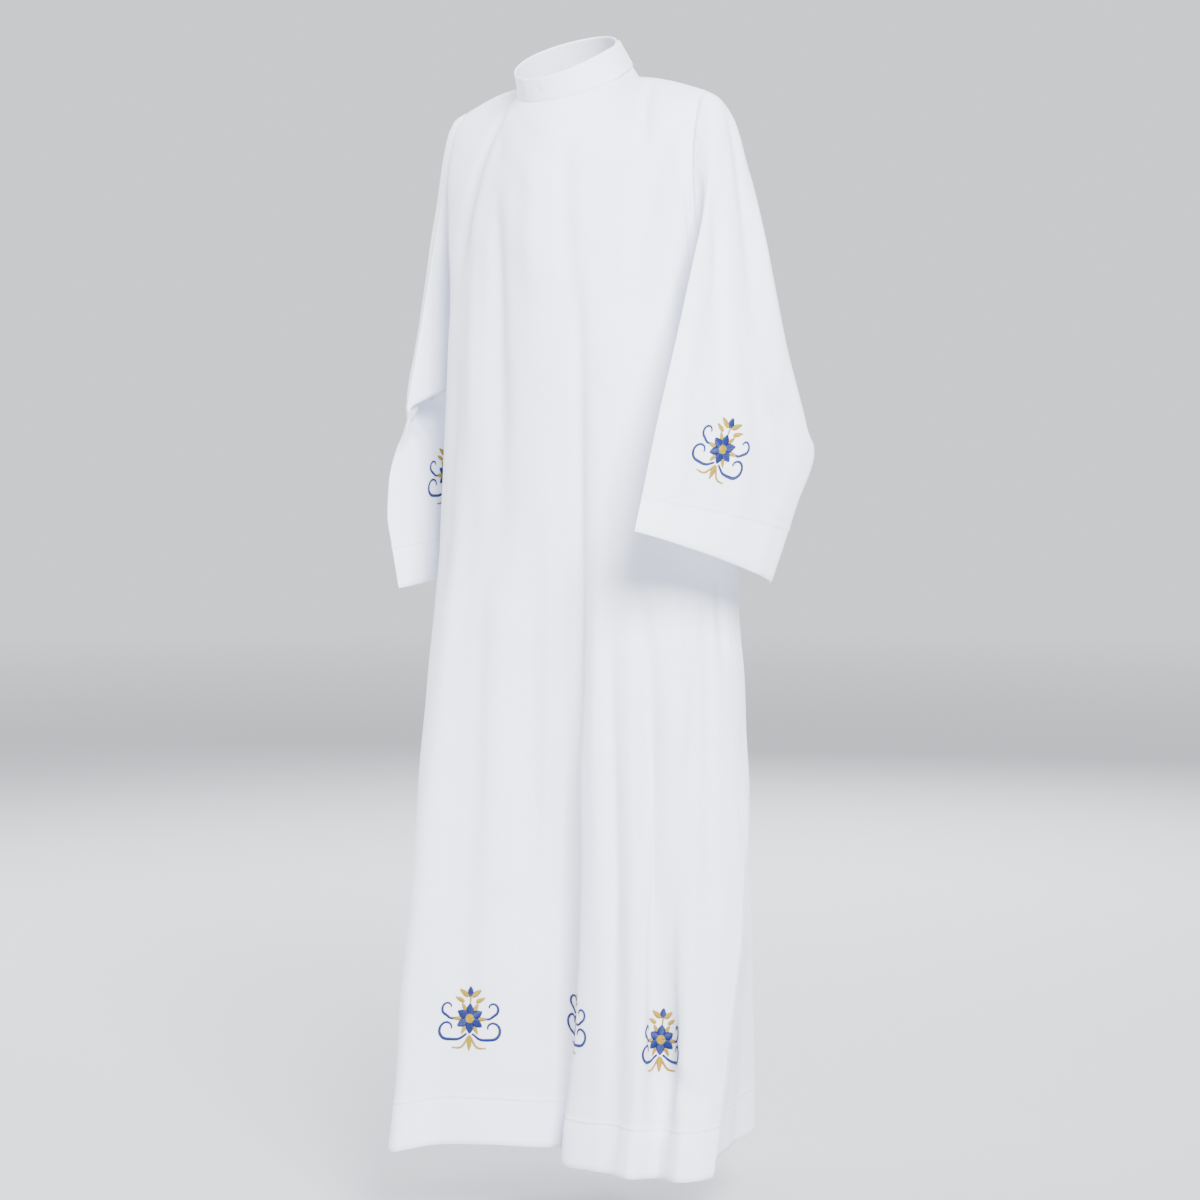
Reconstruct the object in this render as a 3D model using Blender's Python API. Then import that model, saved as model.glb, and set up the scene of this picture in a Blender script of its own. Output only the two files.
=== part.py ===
"""A worn alb: a full-length white robe with a stand collar, wide sleeves and open side slits.

The wearer faces -Y and the wearer's left is +X. The origin is the middle of the neck seam,
where the garment hangs from the neck and shoulders. Every piece is a thin cloth wall.
"""
import math

import bpy
import numpy as np

# Driving dimensions, in metres
WALL = 0.0016            # cloth wall of the panels and sleeves
HEM_WALL = 0.0028        # wall where the cloth is turned up double
COLLAR_WALL = 0.0024     # the collar band is two layers and a stiffener
SEAM_GAP = 0.0003        # room left between pieces at a seam
HEM_DEPTH = 0.064        # turned-up hem of front and back
CUFF_DEPTH = 0.058       # turned-up hem of the sleeves
HEM_Z = -1.433           # hem below the neck seam's middle
CHEST_Z = -0.350         # below this the panels fall free
SLIT_Z = -1.075          # top of the side slits
ARMPIT_Z = -0.270
FOLD_GROWTH = 1.15       # 1 makes straight cones of the folds, more lets them open lower down

# Points on the seams of the wearer's left half, mirrored for the right half
SHOULDER_END = (0.200, 0.036, -0.027)
ARMHOLE_FRONT = (0.201, 0.002, -0.130)
ARMHOLE_BACK = (0.201, 0.098, -0.140)

# Neck seam: an oval in a plane that is low in front
NECK_MIDDLE_Y = 0.018
NECK_HALF_WIDTH = 0.0735
NECK_HALF_DEPTH = 0.078
NECK_SLOPE = 0.45

# Collar band: its height and how far its top edge leans in, by angle from the wearer's left
# side (0) over the nape (90) to the front (270)
COLLAR_BAND = (
    dict(angle=0.0, height=0.038, lean=0.006),
    dict(angle=40.0, height=0.034, lean=0.011),
    dict(angle=90.0, height=0.033, lean=0.010),
    dict(angle=180.0, height=0.037, lean=0.005),
    dict(angle=270.0, height=0.031, lean=0.002),
    dict(angle=360.0, height=0.038, lean=0.006),
    dict(angle=400.0, height=0.034, lean=0.010),
)
COLLAR_UNDER_ANGLE = 20  # the end that lies underneath
COLLAR_OVER_ANGLE = 400  # the closing end, 40 degrees behind the left side
COLLAR_LAP_RUN = 40      # degrees over which the closing end rises onto the other
LAP_RISE = 0.5           # rise of the closing end's foot for each metre that it stands out
COLLAR_ROWS = 3

# Columns of the panels' grids, on each half
NECK_COLUMNS = 9
SHOULDER_COLUMNS = 6
ARMHOLE_COLUMNS = 12
YOKE_ROWS = 8            # rows from the top edge to the chest
SKIRT_ROWS = 11          # rows from the chest to the hem band
HEM_ROWS = 2
EASE_PASSES = 10         # times that the yoke is softened from column to column
EASE_ROWS = 4            # rows over which the softening comes in below the top edge
CLOTH_ROUGHNESS = 0.8

# Shares of the chest's half round, by angle: 0 is the middle of the panel, 1 the side seam
NECK_SHARE = 0.34
SHOULDER_SHARE = 0.60

# How each column leaves the top edge, for the front and for the back: how far out, from 0,
# straight down, to 1, level, for which share of its length, and how far it fans aside; the
# place is 0 at the neck's middle, 1 at the neck point, 2 at the shoulder's end, 3 at the armpit
LEAVING = (
    dict(place=0.0, front=(0.52, 0.26, 0.00), back=(0.50, 0.24, 0.00)),
    dict(place=0.5, front=(0.66, 0.26, 0.08), back=(0.72, 0.28, 0.30)),
    dict(place=1.0, front=(0.84, 0.27, 0.14), back=(0.96, 0.36, 0.34)),
    dict(place=1.5, front=(0.84, 0.27, 0.08), back=(0.93, 0.36, 0.16)),
    dict(place=2.0, front=(0.84, 0.26, 0.00), back=(0.84, 0.28, 0.00)),
    dict(place=2.2, front=(0.50, 0.26, 0.00), back=(0.50, 0.26, 0.00)),
    dict(place=2.5, front=(0.10, 0.26, 0.00), back=(0.10, 0.26, 0.00)),
    dict(place=3.0, front=(0.00, 0.26, 0.00), back=(0.00, 0.26, 0.00)),
)
ARRIVING = 0.36          # share of its length over which a column comes in to the chest

# The body's rounds without folds: half width, depth of front and of back from the side line,
# and the side line's y
ROUNDS = (
    dict(z=CHEST_Z, half_width=0.208, front=0.150, back=0.105, side_y=0.045),
    dict(z=-0.600, half_width=0.222, front=0.165, back=0.125, side_y=0.050),
    dict(z=-0.850, half_width=0.236, front=0.175, back=0.150, side_y=0.052),
    dict(z=-1.100, half_width=0.250, front=0.180, back=0.175, side_y=0.055),
    dict(z=HEM_Z, half_width=0.262, front=0.185, back=0.195, side_y=0.058),
)

# Folds of the front at the hem, from the wearer's right slit to the left one: share of the
# half hem, place in plan, how far the hem is lifted there and the height where the fold begins
FRONT_FOLDS = (
    dict(share=-1.00, x=-0.250, y=0.020, lift=0.000, top=SLIT_Z),
    dict(share=-0.86, x=-0.268, y=-0.030, lift=0.000, top=-0.900),
    dict(share=-0.72, x=-0.232, y=-0.070, lift=0.004, top=-0.700),
    dict(share=-0.58, x=-0.208, y=-0.112, lift=0.004, top=-0.600),
    dict(share=-0.40, x=-0.146, y=-0.196, lift=0.012, top=-0.450),
    dict(share=-0.22, x=-0.095, y=-0.160, lift=0.022, top=-0.450),
    dict(share=-0.04, x=-0.036, y=-0.128, lift=0.024, top=-0.450),
    dict(share=0.12, x=0.008, y=-0.075, lift=0.016, top=-0.400),
    dict(share=0.24, x=0.024, y=-0.034, lift=0.008, top=-0.350),
    dict(share=0.32, x=0.046, y=-0.074, lift=0.000, top=-0.400),
    dict(share=0.43, x=0.102, y=-0.082, lift=0.000, top=-0.550),
    dict(share=0.51, x=0.126, y=-0.068, lift=0.000, top=-0.750),
    dict(share=0.60, x=0.156, y=-0.088, lift=0.000, top=-0.700),
    dict(share=0.70, x=0.178, y=-0.050, lift=-0.004, top=-0.750),
    dict(share=0.82, x=0.222, y=-0.060, lift=0.000, top=-0.700),
    dict(share=0.91, x=0.241, y=-0.038, lift=0.000, top=-0.900),
    dict(share=1.00, x=0.246, y=-0.011, lift=0.000, top=SLIT_Z),
)

# Folds of the back at the hem, in the same order
BACK_FOLDS = (
    dict(share=-1.00, x=-0.214, y=0.052, lift=0.000, top=SLIT_Z),
    dict(share=-0.86, x=-0.238, y=0.105, lift=0.000, top=-0.950),
    dict(share=-0.70, x=-0.218, y=0.165, lift=0.000, top=-0.700),
    dict(share=-0.56, x=-0.190, y=0.220, lift=0.000, top=-0.600),
    dict(share=-0.40, x=-0.125, y=0.208, lift=0.000, top=-0.500),
    dict(share=-0.24, x=-0.085, y=0.262, lift=0.000, top=-0.450),
    dict(share=-0.08, x=-0.030, y=0.222, lift=0.000, top=-0.400),
    dict(share=0.10, x=0.022, y=0.268, lift=0.000, top=-0.450),
    dict(share=0.28, x=0.066, y=0.226, lift=0.000, top=-0.500),
    dict(share=0.46, x=0.118, y=0.256, lift=0.000, top=-0.600),
    dict(share=0.62, x=0.158, y=0.222, lift=0.000, top=-0.650),
    dict(share=0.76, x=0.170, y=0.160, lift=0.000, top=-0.800),
    dict(share=0.88, x=0.188, y=0.105, lift=0.000, top=-0.950),
    dict(share=1.00, x=0.204, y=0.055, lift=0.000, top=SLIT_Z),
)

# Sections of the wearer's left sleeve below the armhole: the middle of its outer side, its
# front crease, the middle of its inner side and its back edge
LEFT_SLEEVE = (
    dict(outer=(0.213, 0.037, -0.034), front=(0.209, 0.002, -0.133),
         inner=(0.214, 0.046, -0.272), back=(0.210, 0.098, -0.142)),
    dict(outer=(0.225, 0.040, -0.052), front=(0.220, -0.001, -0.148),
         inner=(0.221, 0.046, -0.278), back=(0.220, 0.097, -0.152)),
    dict(outer=(0.236, 0.042, -0.100), front=(0.230, -0.016, -0.185),
         inner=(0.227, 0.043, -0.290), back=(0.231, 0.092, -0.180)),
    dict(outer=(0.254, 0.034, -0.200), front=(0.239, -0.056, -0.263),
         inner=(0.234, 0.030, -0.320), back=(0.250, 0.086, -0.245)),
    dict(outer=(0.277, 0.010, -0.308), front=(0.246, -0.101, -0.356),
         inner=(0.244, 0.008, -0.375), back=(0.276, 0.090, -0.340)),
    dict(outer=(0.300, -0.012, -0.425), front=(0.250, -0.140, -0.440),
         inner=(0.258, -0.015, -0.450), back=(0.306, 0.102, -0.450)),
    dict(outer=(0.308, -0.022, -0.488), front=(0.253, -0.162, -0.488),
         inner=(0.266, -0.022, -0.496), back=(0.317, 0.110, -0.494)),
    dict(outer=(0.310, -0.045, -0.548), front=(0.256, -0.181, -0.530),
         inner=(0.270, -0.048, -0.548), back=(0.313, 0.068, -0.566)),
    dict(outer=(0.306, -0.086, -0.626), front=(0.260, -0.208, -0.589),
         inner=(0.274, -0.088, -0.612), back=(0.305, 0.026, -0.660)),
)

# Sections of the wearer's right sleeve, with the deep fold at the elbow
RIGHT_SLEEVE = (
    dict(outer=(-0.213, 0.037, -0.034), front=(-0.208, 0.002, -0.133),
         inner=(-0.213, 0.046, -0.272), back=(-0.210, 0.098, -0.142)),
    dict(outer=(-0.226, 0.041, -0.052), front=(-0.216, 0.002, -0.148),
         inner=(-0.219, 0.047, -0.278), back=(-0.220, 0.099, -0.152)),
    dict(outer=(-0.240, 0.046, -0.100), front=(-0.222, -0.001, -0.185),
         inner=(-0.224, 0.050, -0.288), back=(-0.232, 0.104, -0.180)),
    dict(outer=(-0.262, 0.052, -0.195), front=(-0.232, -0.010, -0.262),
         inner=(-0.230, 0.056, -0.312), back=(-0.250, 0.120, -0.245)),
    dict(outer=(-0.282, 0.058, -0.300), front=(-0.240, -0.022, -0.346),
         inner=(-0.233, 0.060, -0.352), back=(-0.268, 0.138, -0.335)),
    dict(outer=(-0.300, 0.060, -0.385), front=(-0.247, -0.031, -0.405),
         inner=(-0.230, 0.060, -0.378), back=(-0.281, 0.148, -0.395)),
    dict(outer=(-0.303, 0.060, -0.405), front=(-0.249, -0.035, -0.434),
         inner=(-0.230, 0.060, -0.400), back=(-0.284, 0.150, -0.410)),
    dict(outer=(-0.304, 0.060, -0.415), front=(-0.247, -0.033, -0.442),
         inner=(-0.272, 0.060, -0.398), back=(-0.284, 0.149, -0.422)),
    dict(outer=(-0.305, 0.058, -0.440), front=(-0.249, -0.043, -0.482),
         inner=(-0.272, 0.058, -0.430), back=(-0.283, 0.148, -0.445)),
    dict(outer=(-0.305, 0.055, -0.475), front=(-0.256, -0.052, -0.497),
         inner=(-0.256, 0.054, -0.474), back=(-0.282, 0.146, -0.480)),
    dict(outer=(-0.304, 0.050, -0.520), front=(-0.259, -0.062, -0.532),
         inner=(-0.247, 0.048, -0.522), back=(-0.281, 0.142, -0.522)),
    dict(outer=(-0.302, 0.045, -0.566), front=(-0.259, -0.066, -0.580),
         inner=(-0.243, 0.042, -0.566), back=(-0.279, 0.140, -0.566)),
    dict(outer=(-0.296, 0.042, -0.614), front=(-0.254, -0.062, -0.625),
         inner=(-0.240, 0.040, -0.612), back=(-0.276, 0.138, -0.606)),
    dict(outer=(-0.290, 0.042, -0.672), front=(-0.247, -0.057, -0.680),
         inner=(-0.240, 0.038, -0.668), back=(-0.272, 0.136, -0.662)),
)


def smooth_table(rows, key, column, at):
    """Value of one column of a table at a key, on a smooth curve through its rows."""
    keys = np.array([row[key] for row in rows])
    values = np.array([row[column] for row in rows], dtype=float)
    if keys[0] > keys[-1]:
        keys = keys[::-1]
        values = values[::-1]
    slopes = np.gradient(values, keys, axis=0)
    at = np.clip(at, keys[0], keys[-1])
    index = int(np.clip(np.searchsorted(keys, at) - 1, 0, len(keys) - 2))
    span = keys[index + 1] - keys[index]
    t = (at - keys[index]) / span
    start, end = values[index], values[index + 1]
    start_slope, end_slope = slopes[index] * span, slopes[index + 1] * span
    return (start * (2 * t**3 - 3 * t**2 + 1) + start_slope * (t**3 - 2 * t**2 + t)
            + end * (3 * t**2 - 2 * t**3) + end_slope * (t**3 - t**2))


def neck_seam(angle):
    """Point of the neck seam; 0 degrees is the wearer's left, 90 the nape."""
    x = NECK_HALF_WIDTH * math.cos(math.radians(angle))
    y = NECK_MIDDLE_Y + NECK_HALF_DEPTH * math.sin(math.radians(angle))
    return np.array((x, y, NECK_SLOPE * (y - NECK_MIDDLE_Y)))


def quarter(start, end, centre, t):
    """Point on a quarter of an oval about a centre, from start to end."""
    angle = t * math.pi / 2
    start, end, centre = np.array(start), np.array(end), np.array(centre)
    return centre + (start - centre) * math.cos(angle) + (end - centre) * math.sin(angle)


def armhole_edge(facing, t):
    """Point of the left armhole's front or back edge, from the shoulder to the armpit."""
    middle = ARMHOLE_FRONT if facing < 0 else ARMHOLE_BACK
    armpit = (ROUNDS[0]["half_width"], ROUNDS[0]["side_y"], ARMPIT_Z)
    if t < 0.5:
        return quarter(SHOULDER_END, middle, (middle[0], SHOULDER_END[1], middle[2]), 2 * t)
    return quarter(middle, armpit, (armpit[0], armpit[1], middle[2]), 2 * t - 1)


def top_edge(facing, column):
    """Top point and chest share of one column of the left half, from the middle outwards."""
    if column <= NECK_COLUMNS:
        t = column / NECK_COLUMNS
        middle_angle = -90 if facing < 0 else 90
        point = neck_seam(middle_angle * (1 - t))
        return point, NECK_SHARE * t
    if column <= NECK_COLUMNS + SHOULDER_COLUMNS:
        t = (column - NECK_COLUMNS) / SHOULDER_COLUMNS
        start, end = neck_seam(0), np.array(SHOULDER_END)
        point = start + (end - start) * t
        point[2] += 0.006 * math.sin(math.pi * t)
        return point, NECK_SHARE + (SHOULDER_SHARE - NECK_SHARE) * t
    t = (column - NECK_COLUMNS - SHOULDER_COLUMNS) / ARMHOLE_COLUMNS
    return armhole_edge(facing, t), SHOULDER_SHARE + (1 - SHOULDER_SHARE) * t


def round_point(facing, share, z):
    """Point of the body's unfolded round at a height; a share of 1 is the left side seam."""
    half_width = smooth_table(ROUNDS, "z", "half_width", z)
    depth = smooth_table(ROUNDS, "z", "front" if facing < 0 else "back", z)
    side_y = smooth_table(ROUNDS, "z", "side_y", z)
    angle = share * math.pi / 2
    return np.array((half_width * math.sin(angle),
                     side_y + facing * depth * math.cos(angle), z))


def skirt_point(facing, share, chest_share, z):
    """Point of a panel below the chest: the plain round, and the fold that grows to the hem."""
    folds = FRONT_FOLDS if facing < 0 else BACK_FOLDS
    drop = (CHEST_Z - z) / (CHEST_Z - HEM_Z)
    plain = round_point(facing, chest_share + (share - chest_share) * drop, z)
    hem = round_point(facing, share, HEM_Z)
    folded = np.array([smooth_table(folds, "share", column, share) for column in ("x", "y")])
    top = smooth_table(folds, "share", "top", share)
    growth = max(0.0, (top - z) / (top - HEM_Z)) ** FOLD_GROWTH
    lift = smooth_table(folds, "share", "lift", share)
    plain[:2] += (folded - hem[:2]) * growth
    plain[2] += lift * drop
    return plain


def top_place(number):
    """Place of a column along the top edge, as the table LEAVING counts it."""
    if number <= NECK_COLUMNS:
        return number / NECK_COLUMNS
    if number <= NECK_COLUMNS + SHOULDER_COLUMNS:
        return 1 + (number - NECK_COLUMNS) / SHOULDER_COLUMNS
    return 2 + (number - NECK_COLUMNS - SHOULDER_COLUMNS) / ARMHOLE_COLUMNS


def yoke_curve(facing, side, top, chest, below, place):
    """Rows of a column from the top edge over the chest, rounded at both ends."""
    length = np.linalg.norm(chest - top)
    column = "front" if facing < 0 else "back"
    outward, reach, aside = smooth_table(LEAVING, "place", column, place)
    outward = float(np.clip(outward, 0, 1))
    leaving = np.array((side * aside, facing * outward, -math.sqrt(1 - outward**2)))
    upward = (chest - below) / np.linalg.norm(chest - below)
    first = top + leaving * reach * length
    second = chest + upward * ARRIVING * length
    rows = []
    for row in range(YOKE_ROWS):
        t = row / YOKE_ROWS
        rows.append(top * (1 - t)**3 + first * 3 * t * (1 - t)**2
                    + second * 3 * t**2 * (1 - t) + chest * t**3)
    return rows


def skirt_levels():
    """Heights of the rows below the chest, with the hem band's own rows at the end."""
    band_top = HEM_Z + HEM_DEPTH
    levels = [CHEST_Z + (band_top - CHEST_Z) * row / SKIRT_ROWS for row in range(SKIRT_ROWS + 1)]
    levels += [band_top - HEM_DEPTH * row / HEM_ROWS for row in range(1, HEM_ROWS + 1)]
    nearest = min(range(len(levels)), key=lambda i: abs(levels[i] - SLIT_Z))
    levels[nearest] = SLIT_Z
    return levels


def panel_columns(facing):
    """All columns of the front (facing -1) or the back (facing 1), right seam to left seam."""
    count = NECK_COLUMNS + SHOULDER_COLUMNS + ARMHOLE_COLUMNS
    levels = skirt_levels()
    columns = []
    for number in range(-count, count + 1):
        side = -1 if number < 0 else 1
        top, chest_share = top_edge(facing, abs(number))
        top[0] *= side
        chest_share *= side
        share = number / count
        fall = [skirt_point(facing, share, chest_share, z) for z in levels]
        yoke = yoke_curve(facing, side, top, fall[0], fall[1], top_place(abs(number)))
        column = np.array(yoke + fall)
        column[:, 1] += facing * SEAM_GAP / 2
        columns.append(column)
    return ease_across(np.array(columns))


def ease_across(columns):
    """Soften the yoke from column to column, less near its top edge, with the chest kept."""
    ease = np.clip(np.arange(1, YOKE_ROWS) / EASE_ROWS, 0, 1)[None, :, None] / 2
    for _ in range(EASE_PASSES):
        middle = columns[1:-1, 1:YOKE_ROWS]
        beside = (columns[:-2, 1:YOKE_ROWS] + columns[2:, 1:YOKE_ROWS]) / 2
        columns[1:-1, 1:YOKE_ROWS] = middle + (beside - middle) * ease
    return columns


def cloth_material(name, colour, roughness):
    """Plain woven cloth colour for one piece."""
    material = bpy.data.materials.new(name)
    material.use_nodes = True
    shader = material.node_tree.nodes["Principled BSDF"]
    shader.inputs["Base Color"].default_value = (*colour, 1.0)
    shader.inputs["Roughness"].default_value = roughness
    shader.inputs["Metallic"].default_value = 0.0
    return material


def grid_normals(points, closed):
    """Unit normals of a grid of points; closed means that the first axis runs round a tube."""
    if closed:
        across = np.roll(points, -1, axis=0) - np.roll(points, 1, axis=0)
    else:
        across = np.gradient(points, axis=0)
    down = np.gradient(points, axis=1)
    normals = np.cross(across, down)
    return normals / np.linalg.norm(normals, axis=2, keepdims=True)


def cloth_wall(name, points, wall, outward, closed, colour, seams):
    """A closed solid between a grid of outer points and the same grid moved in by the wall.

    Each seam names columns, rows, an axis and the side on which the neighbour lies, so that
    the wall doesn't lean over the seam.
    """
    normals = grid_normals(points, closed)
    if outward < 0:
        normals = -normals
    inner = points - normals * wall[None, :, None]
    for columns, rows, axis, side in seams:
        edge = points[columns, rows, axis]
        limit = np.minimum if side > 0 else np.maximum
        inner[columns, rows, axis] = limit(inner[columns, rows, axis], edge)
    across, down = points.shape[:2]
    verts = np.concatenate((points.reshape(-1, 3), inner.reshape(-1, 3)))
    offset = across * down
    faces = []

    def quad(a, b, c, d):
        faces.append((a, b, c, d) if outward > 0 else (d, c, b, a))

    for i in range(across if closed else across - 1):
        j = (i + 1) % across
        for k in range(down - 1):
            a, b, c, d = i * down + k, j * down + k, j * down + k + 1, i * down + k + 1
            quad(a, b, c, d)
            quad(offset + d, offset + c, offset + b, offset + a)
        quad(j * down, i * down, offset + i * down, offset + j * down)
        last = down - 1
        quad(i * down + last, j * down + last, offset + j * down + last, offset + i * down + last)
    if not closed:
        for k in range(down - 1):
            quad(k, k + 1, offset + k + 1, offset + k)
            far = (across - 1) * down
            quad(far + k + 1, far + k, offset + far + k, offset + far + k + 1)
    mesh = bpy.data.meshes.new(name)
    mesh.from_pydata([tuple(v) for v in verts], [], faces)
    mesh.update()
    mesh.shade_smooth()
    mesh.set_sharp_from_angle(angle=math.radians(40))
    piece = bpy.data.objects.new(name, mesh)
    bpy.context.scene.collection.objects.link(piece)
    mesh.materials.append(cloth_material(name + "_cloth", colour, CLOTH_ROUGHNESS))
    return piece


def panel_wall():
    """Wall thickness of each row of a panel: double over the turned-up hem."""
    rows = YOKE_ROWS + SKIRT_ROWS + 1 + HEM_ROWS
    wall = np.full(rows, WALL)
    wall[-HEM_ROWS:] = HEM_WALL
    return wall


def panel_seams(facing):
    """Side seams, then the shoulder and armhole seams on the first row."""
    right_shoulder = slice(ARMHOLE_COLUMNS, ARMHOLE_COLUMNS + SHOULDER_COLUMNS + 1)
    left_shoulder = slice(-ARMHOLE_COLUMNS - SHOULDER_COLUMNS - 1, -ARMHOLE_COLUMNS)
    right_armhole = slice(0, ARMHOLE_COLUMNS + 1)
    left_armhole = slice(-ARMHOLE_COLUMNS - 1, None)
    every_row = slice(None)
    return ((0, every_row, 1, -facing), (-1, every_row, 1, -facing),
            (right_shoulder, 0, 1, -facing), (left_shoulder, 0, 1, -facing),
            (right_armhole, 0, 0, -1), (left_armhole, 0, 0, 1))


def make_front():
    """Front panel, with its shoulder, armhole and side edges and the turned-up hem."""
    points = panel_columns(-1)
    return cloth_wall("front", points, panel_wall(), -1, False, (0.86, 0.88, 0.93), panel_seams(-1))


def make_back():
    """Back panel, plain, with the same edges."""
    points = panel_columns(1)
    return cloth_wall("back", points, panel_wall(), 1, False, (0.84, 0.86, 0.91), panel_seams(1))


def armhole_ring(side):
    """Points round one armhole: shoulder, front, armpit, back."""
    front = [armhole_edge(-1, i / ARMHOLE_COLUMNS) for i in range(ARMHOLE_COLUMNS)]
    back = [armhole_edge(1, 1 - i / ARMHOLE_COLUMNS) for i in range(ARMHOLE_COLUMNS)]
    ring = np.array(front + back)
    ring[:, 0] = side * (ring[:, 0] + SEAM_GAP)
    ring[1:ARMHOLE_COLUMNS, 1] -= SEAM_GAP / 2
    ring[ARMHOLE_COLUMNS + 1:, 1] += SEAM_GAP / 2
    return ring


def sleeve_section(outer, front, inner, back):
    """Ring of a sleeve through its four lines, pointed at the front crease."""
    count = 2 * ARMHOLE_COLUMNS
    middle = (front + back) / 2
    ring = []
    for i in range(count):
        angle = 2 * math.pi * i / count
        across = math.sin(angle)
        bulge = abs(math.cos(angle))
        if across > 0:
            bulge = bulge ** 1.6
        reach = outer - middle if math.cos(angle) > 0 else inner - middle
        ring.append(middle + (front - back) / 2 * across + reach * bulge)
    return ring


def sleeve_points(rows, side):
    """Grid of a sleeve from the armhole to its hem, with a row at the top of the hem band."""
    sections = [{line: np.array(row[line]) for line in row} for row in rows]
    cuff = sections[-1]
    before = sections[-2]
    length = np.linalg.norm((cuff["front"] + cuff["back"] - before["front"] - before["back"]) / 2)
    share = CUFF_DEPTH / length
    if share < 0.95:
        band = {line: cuff[line] + (before[line] - cuff[line]) * share for line in cuff}
        sections.insert(-1, band)
    rings = [armhole_ring(side)]
    rings += [sleeve_section(s["outer"], s["front"], s["inner"], s["back"]) for s in sections]
    return np.array(rings).transpose(1, 0, 2)


def make_sleeve(name, rows, side):
    """One wide sleeve, from the armhole to the turned-up hem at the cuff."""
    points = sleeve_points(rows, side)
    wall = np.full(points.shape[1], WALL)
    wall[-1] = HEM_WALL
    armhole_seam = (slice(None), 0, 0, -side)
    return cloth_wall(name, points, wall, -side, True, (0.88, 0.90, 0.95), (armhole_seam,))


def collar_column(angle):
    """Points of the collar band at one angle, from its top edge to the neck seam."""
    base = neck_seam(angle)
    height = smooth_table(COLLAR_BAND, "angle", "height", angle)
    lean = smooth_table(COLLAR_BAND, "angle", "lean", angle)
    tilt = math.atan(NECK_SLOPE)
    up = np.array((0.0, -math.sin(tilt), math.cos(tilt)))
    out = np.array((math.cos(math.radians(angle)), math.sin(math.radians(angle)), 0.0))
    lap_start = COLLAR_UNDER_ANGLE + 360 - COLLAR_LAP_RUN
    lap = (COLLAR_WALL + SEAM_GAP) * float(np.clip((angle - lap_start) / COLLAR_LAP_RUN, 0, 1))
    foot = base + up * (2 * SEAM_GAP + LAP_RISE * lap) + out * lap
    top = base + up * height + out * (lap - lean)
    return [top + (foot - top) * row / COLLAR_ROWS for row in range(COLLAR_ROWS + 1)]


def make_collar():
    """Stand collar: one band round the neck whose closing end laps over the other."""
    step = 90 // NECK_COLUMNS
    angles = range(COLLAR_UNDER_ANGLE, COLLAR_OVER_ANGLE + step, step)
    points = np.array([collar_column(angle) for angle in angles])
    wall = np.full(COLLAR_ROWS + 1, COLLAR_WALL)
    return cloth_wall("collar", points, wall, -1, False, (0.87, 0.89, 0.94), ())


def main():
    """Clear the scene and make the five pieces."""
    for item in list(bpy.data.objects):
        bpy.data.objects.remove(item, do_unlink=True)
    make_front()
    make_back()
    make_sleeve("left_sleeve", LEFT_SLEEVE, 1)
    make_sleeve("right_sleeve", RIGHT_SLEEVE, -1)
    make_collar()


main()
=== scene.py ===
"""A worn alb in white cloth, with its hems, stitching and embroidery, on a pale floor.

The wearer faces -Y and the wearer's left is +X. The origin is the middle of the neck seam. Each
sewn piece is a thin shell on the form of its solid, with the creases that run from the collar
and shoulders and the folds that open towards the hem.
"""
import functools
import math

import bpy
import numpy as np
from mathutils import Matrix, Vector


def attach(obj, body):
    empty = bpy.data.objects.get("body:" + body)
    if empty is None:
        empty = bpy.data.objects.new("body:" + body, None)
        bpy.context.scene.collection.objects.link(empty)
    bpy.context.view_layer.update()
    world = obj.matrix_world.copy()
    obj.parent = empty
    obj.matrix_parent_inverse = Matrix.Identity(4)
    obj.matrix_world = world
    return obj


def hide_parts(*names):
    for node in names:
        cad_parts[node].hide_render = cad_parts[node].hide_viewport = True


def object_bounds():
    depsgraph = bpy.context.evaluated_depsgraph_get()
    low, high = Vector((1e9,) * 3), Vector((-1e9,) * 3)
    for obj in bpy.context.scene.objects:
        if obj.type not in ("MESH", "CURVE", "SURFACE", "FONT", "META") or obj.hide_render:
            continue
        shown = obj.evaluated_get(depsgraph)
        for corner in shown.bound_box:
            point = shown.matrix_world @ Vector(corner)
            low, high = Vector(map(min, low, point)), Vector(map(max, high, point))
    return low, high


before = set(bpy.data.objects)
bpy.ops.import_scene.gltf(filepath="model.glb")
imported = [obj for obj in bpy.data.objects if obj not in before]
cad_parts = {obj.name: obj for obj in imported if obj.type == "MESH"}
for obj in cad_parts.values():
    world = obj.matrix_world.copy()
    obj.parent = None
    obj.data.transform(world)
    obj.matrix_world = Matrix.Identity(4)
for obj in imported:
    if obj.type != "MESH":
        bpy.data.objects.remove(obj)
CAD_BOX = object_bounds()

bl_info = {
    "name": "Alb robe",
    "version": (1, 0, 0),
    "blender": (4, 5, 0),
    "location": "3D View > Sidebar > Alb robe",
    "description": "Makes the cloth, stitching and embroidery of a worn alb",
    "category": "Object",
}


def table(parts, rows):
    """A table's columns by name. Each is given in some part of its unit, such as thousandths."""
    columns = np.array(rows, dtype=float).T
    return {name: column / part for (name, part), column in zip(parts.items(), columns)}


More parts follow.
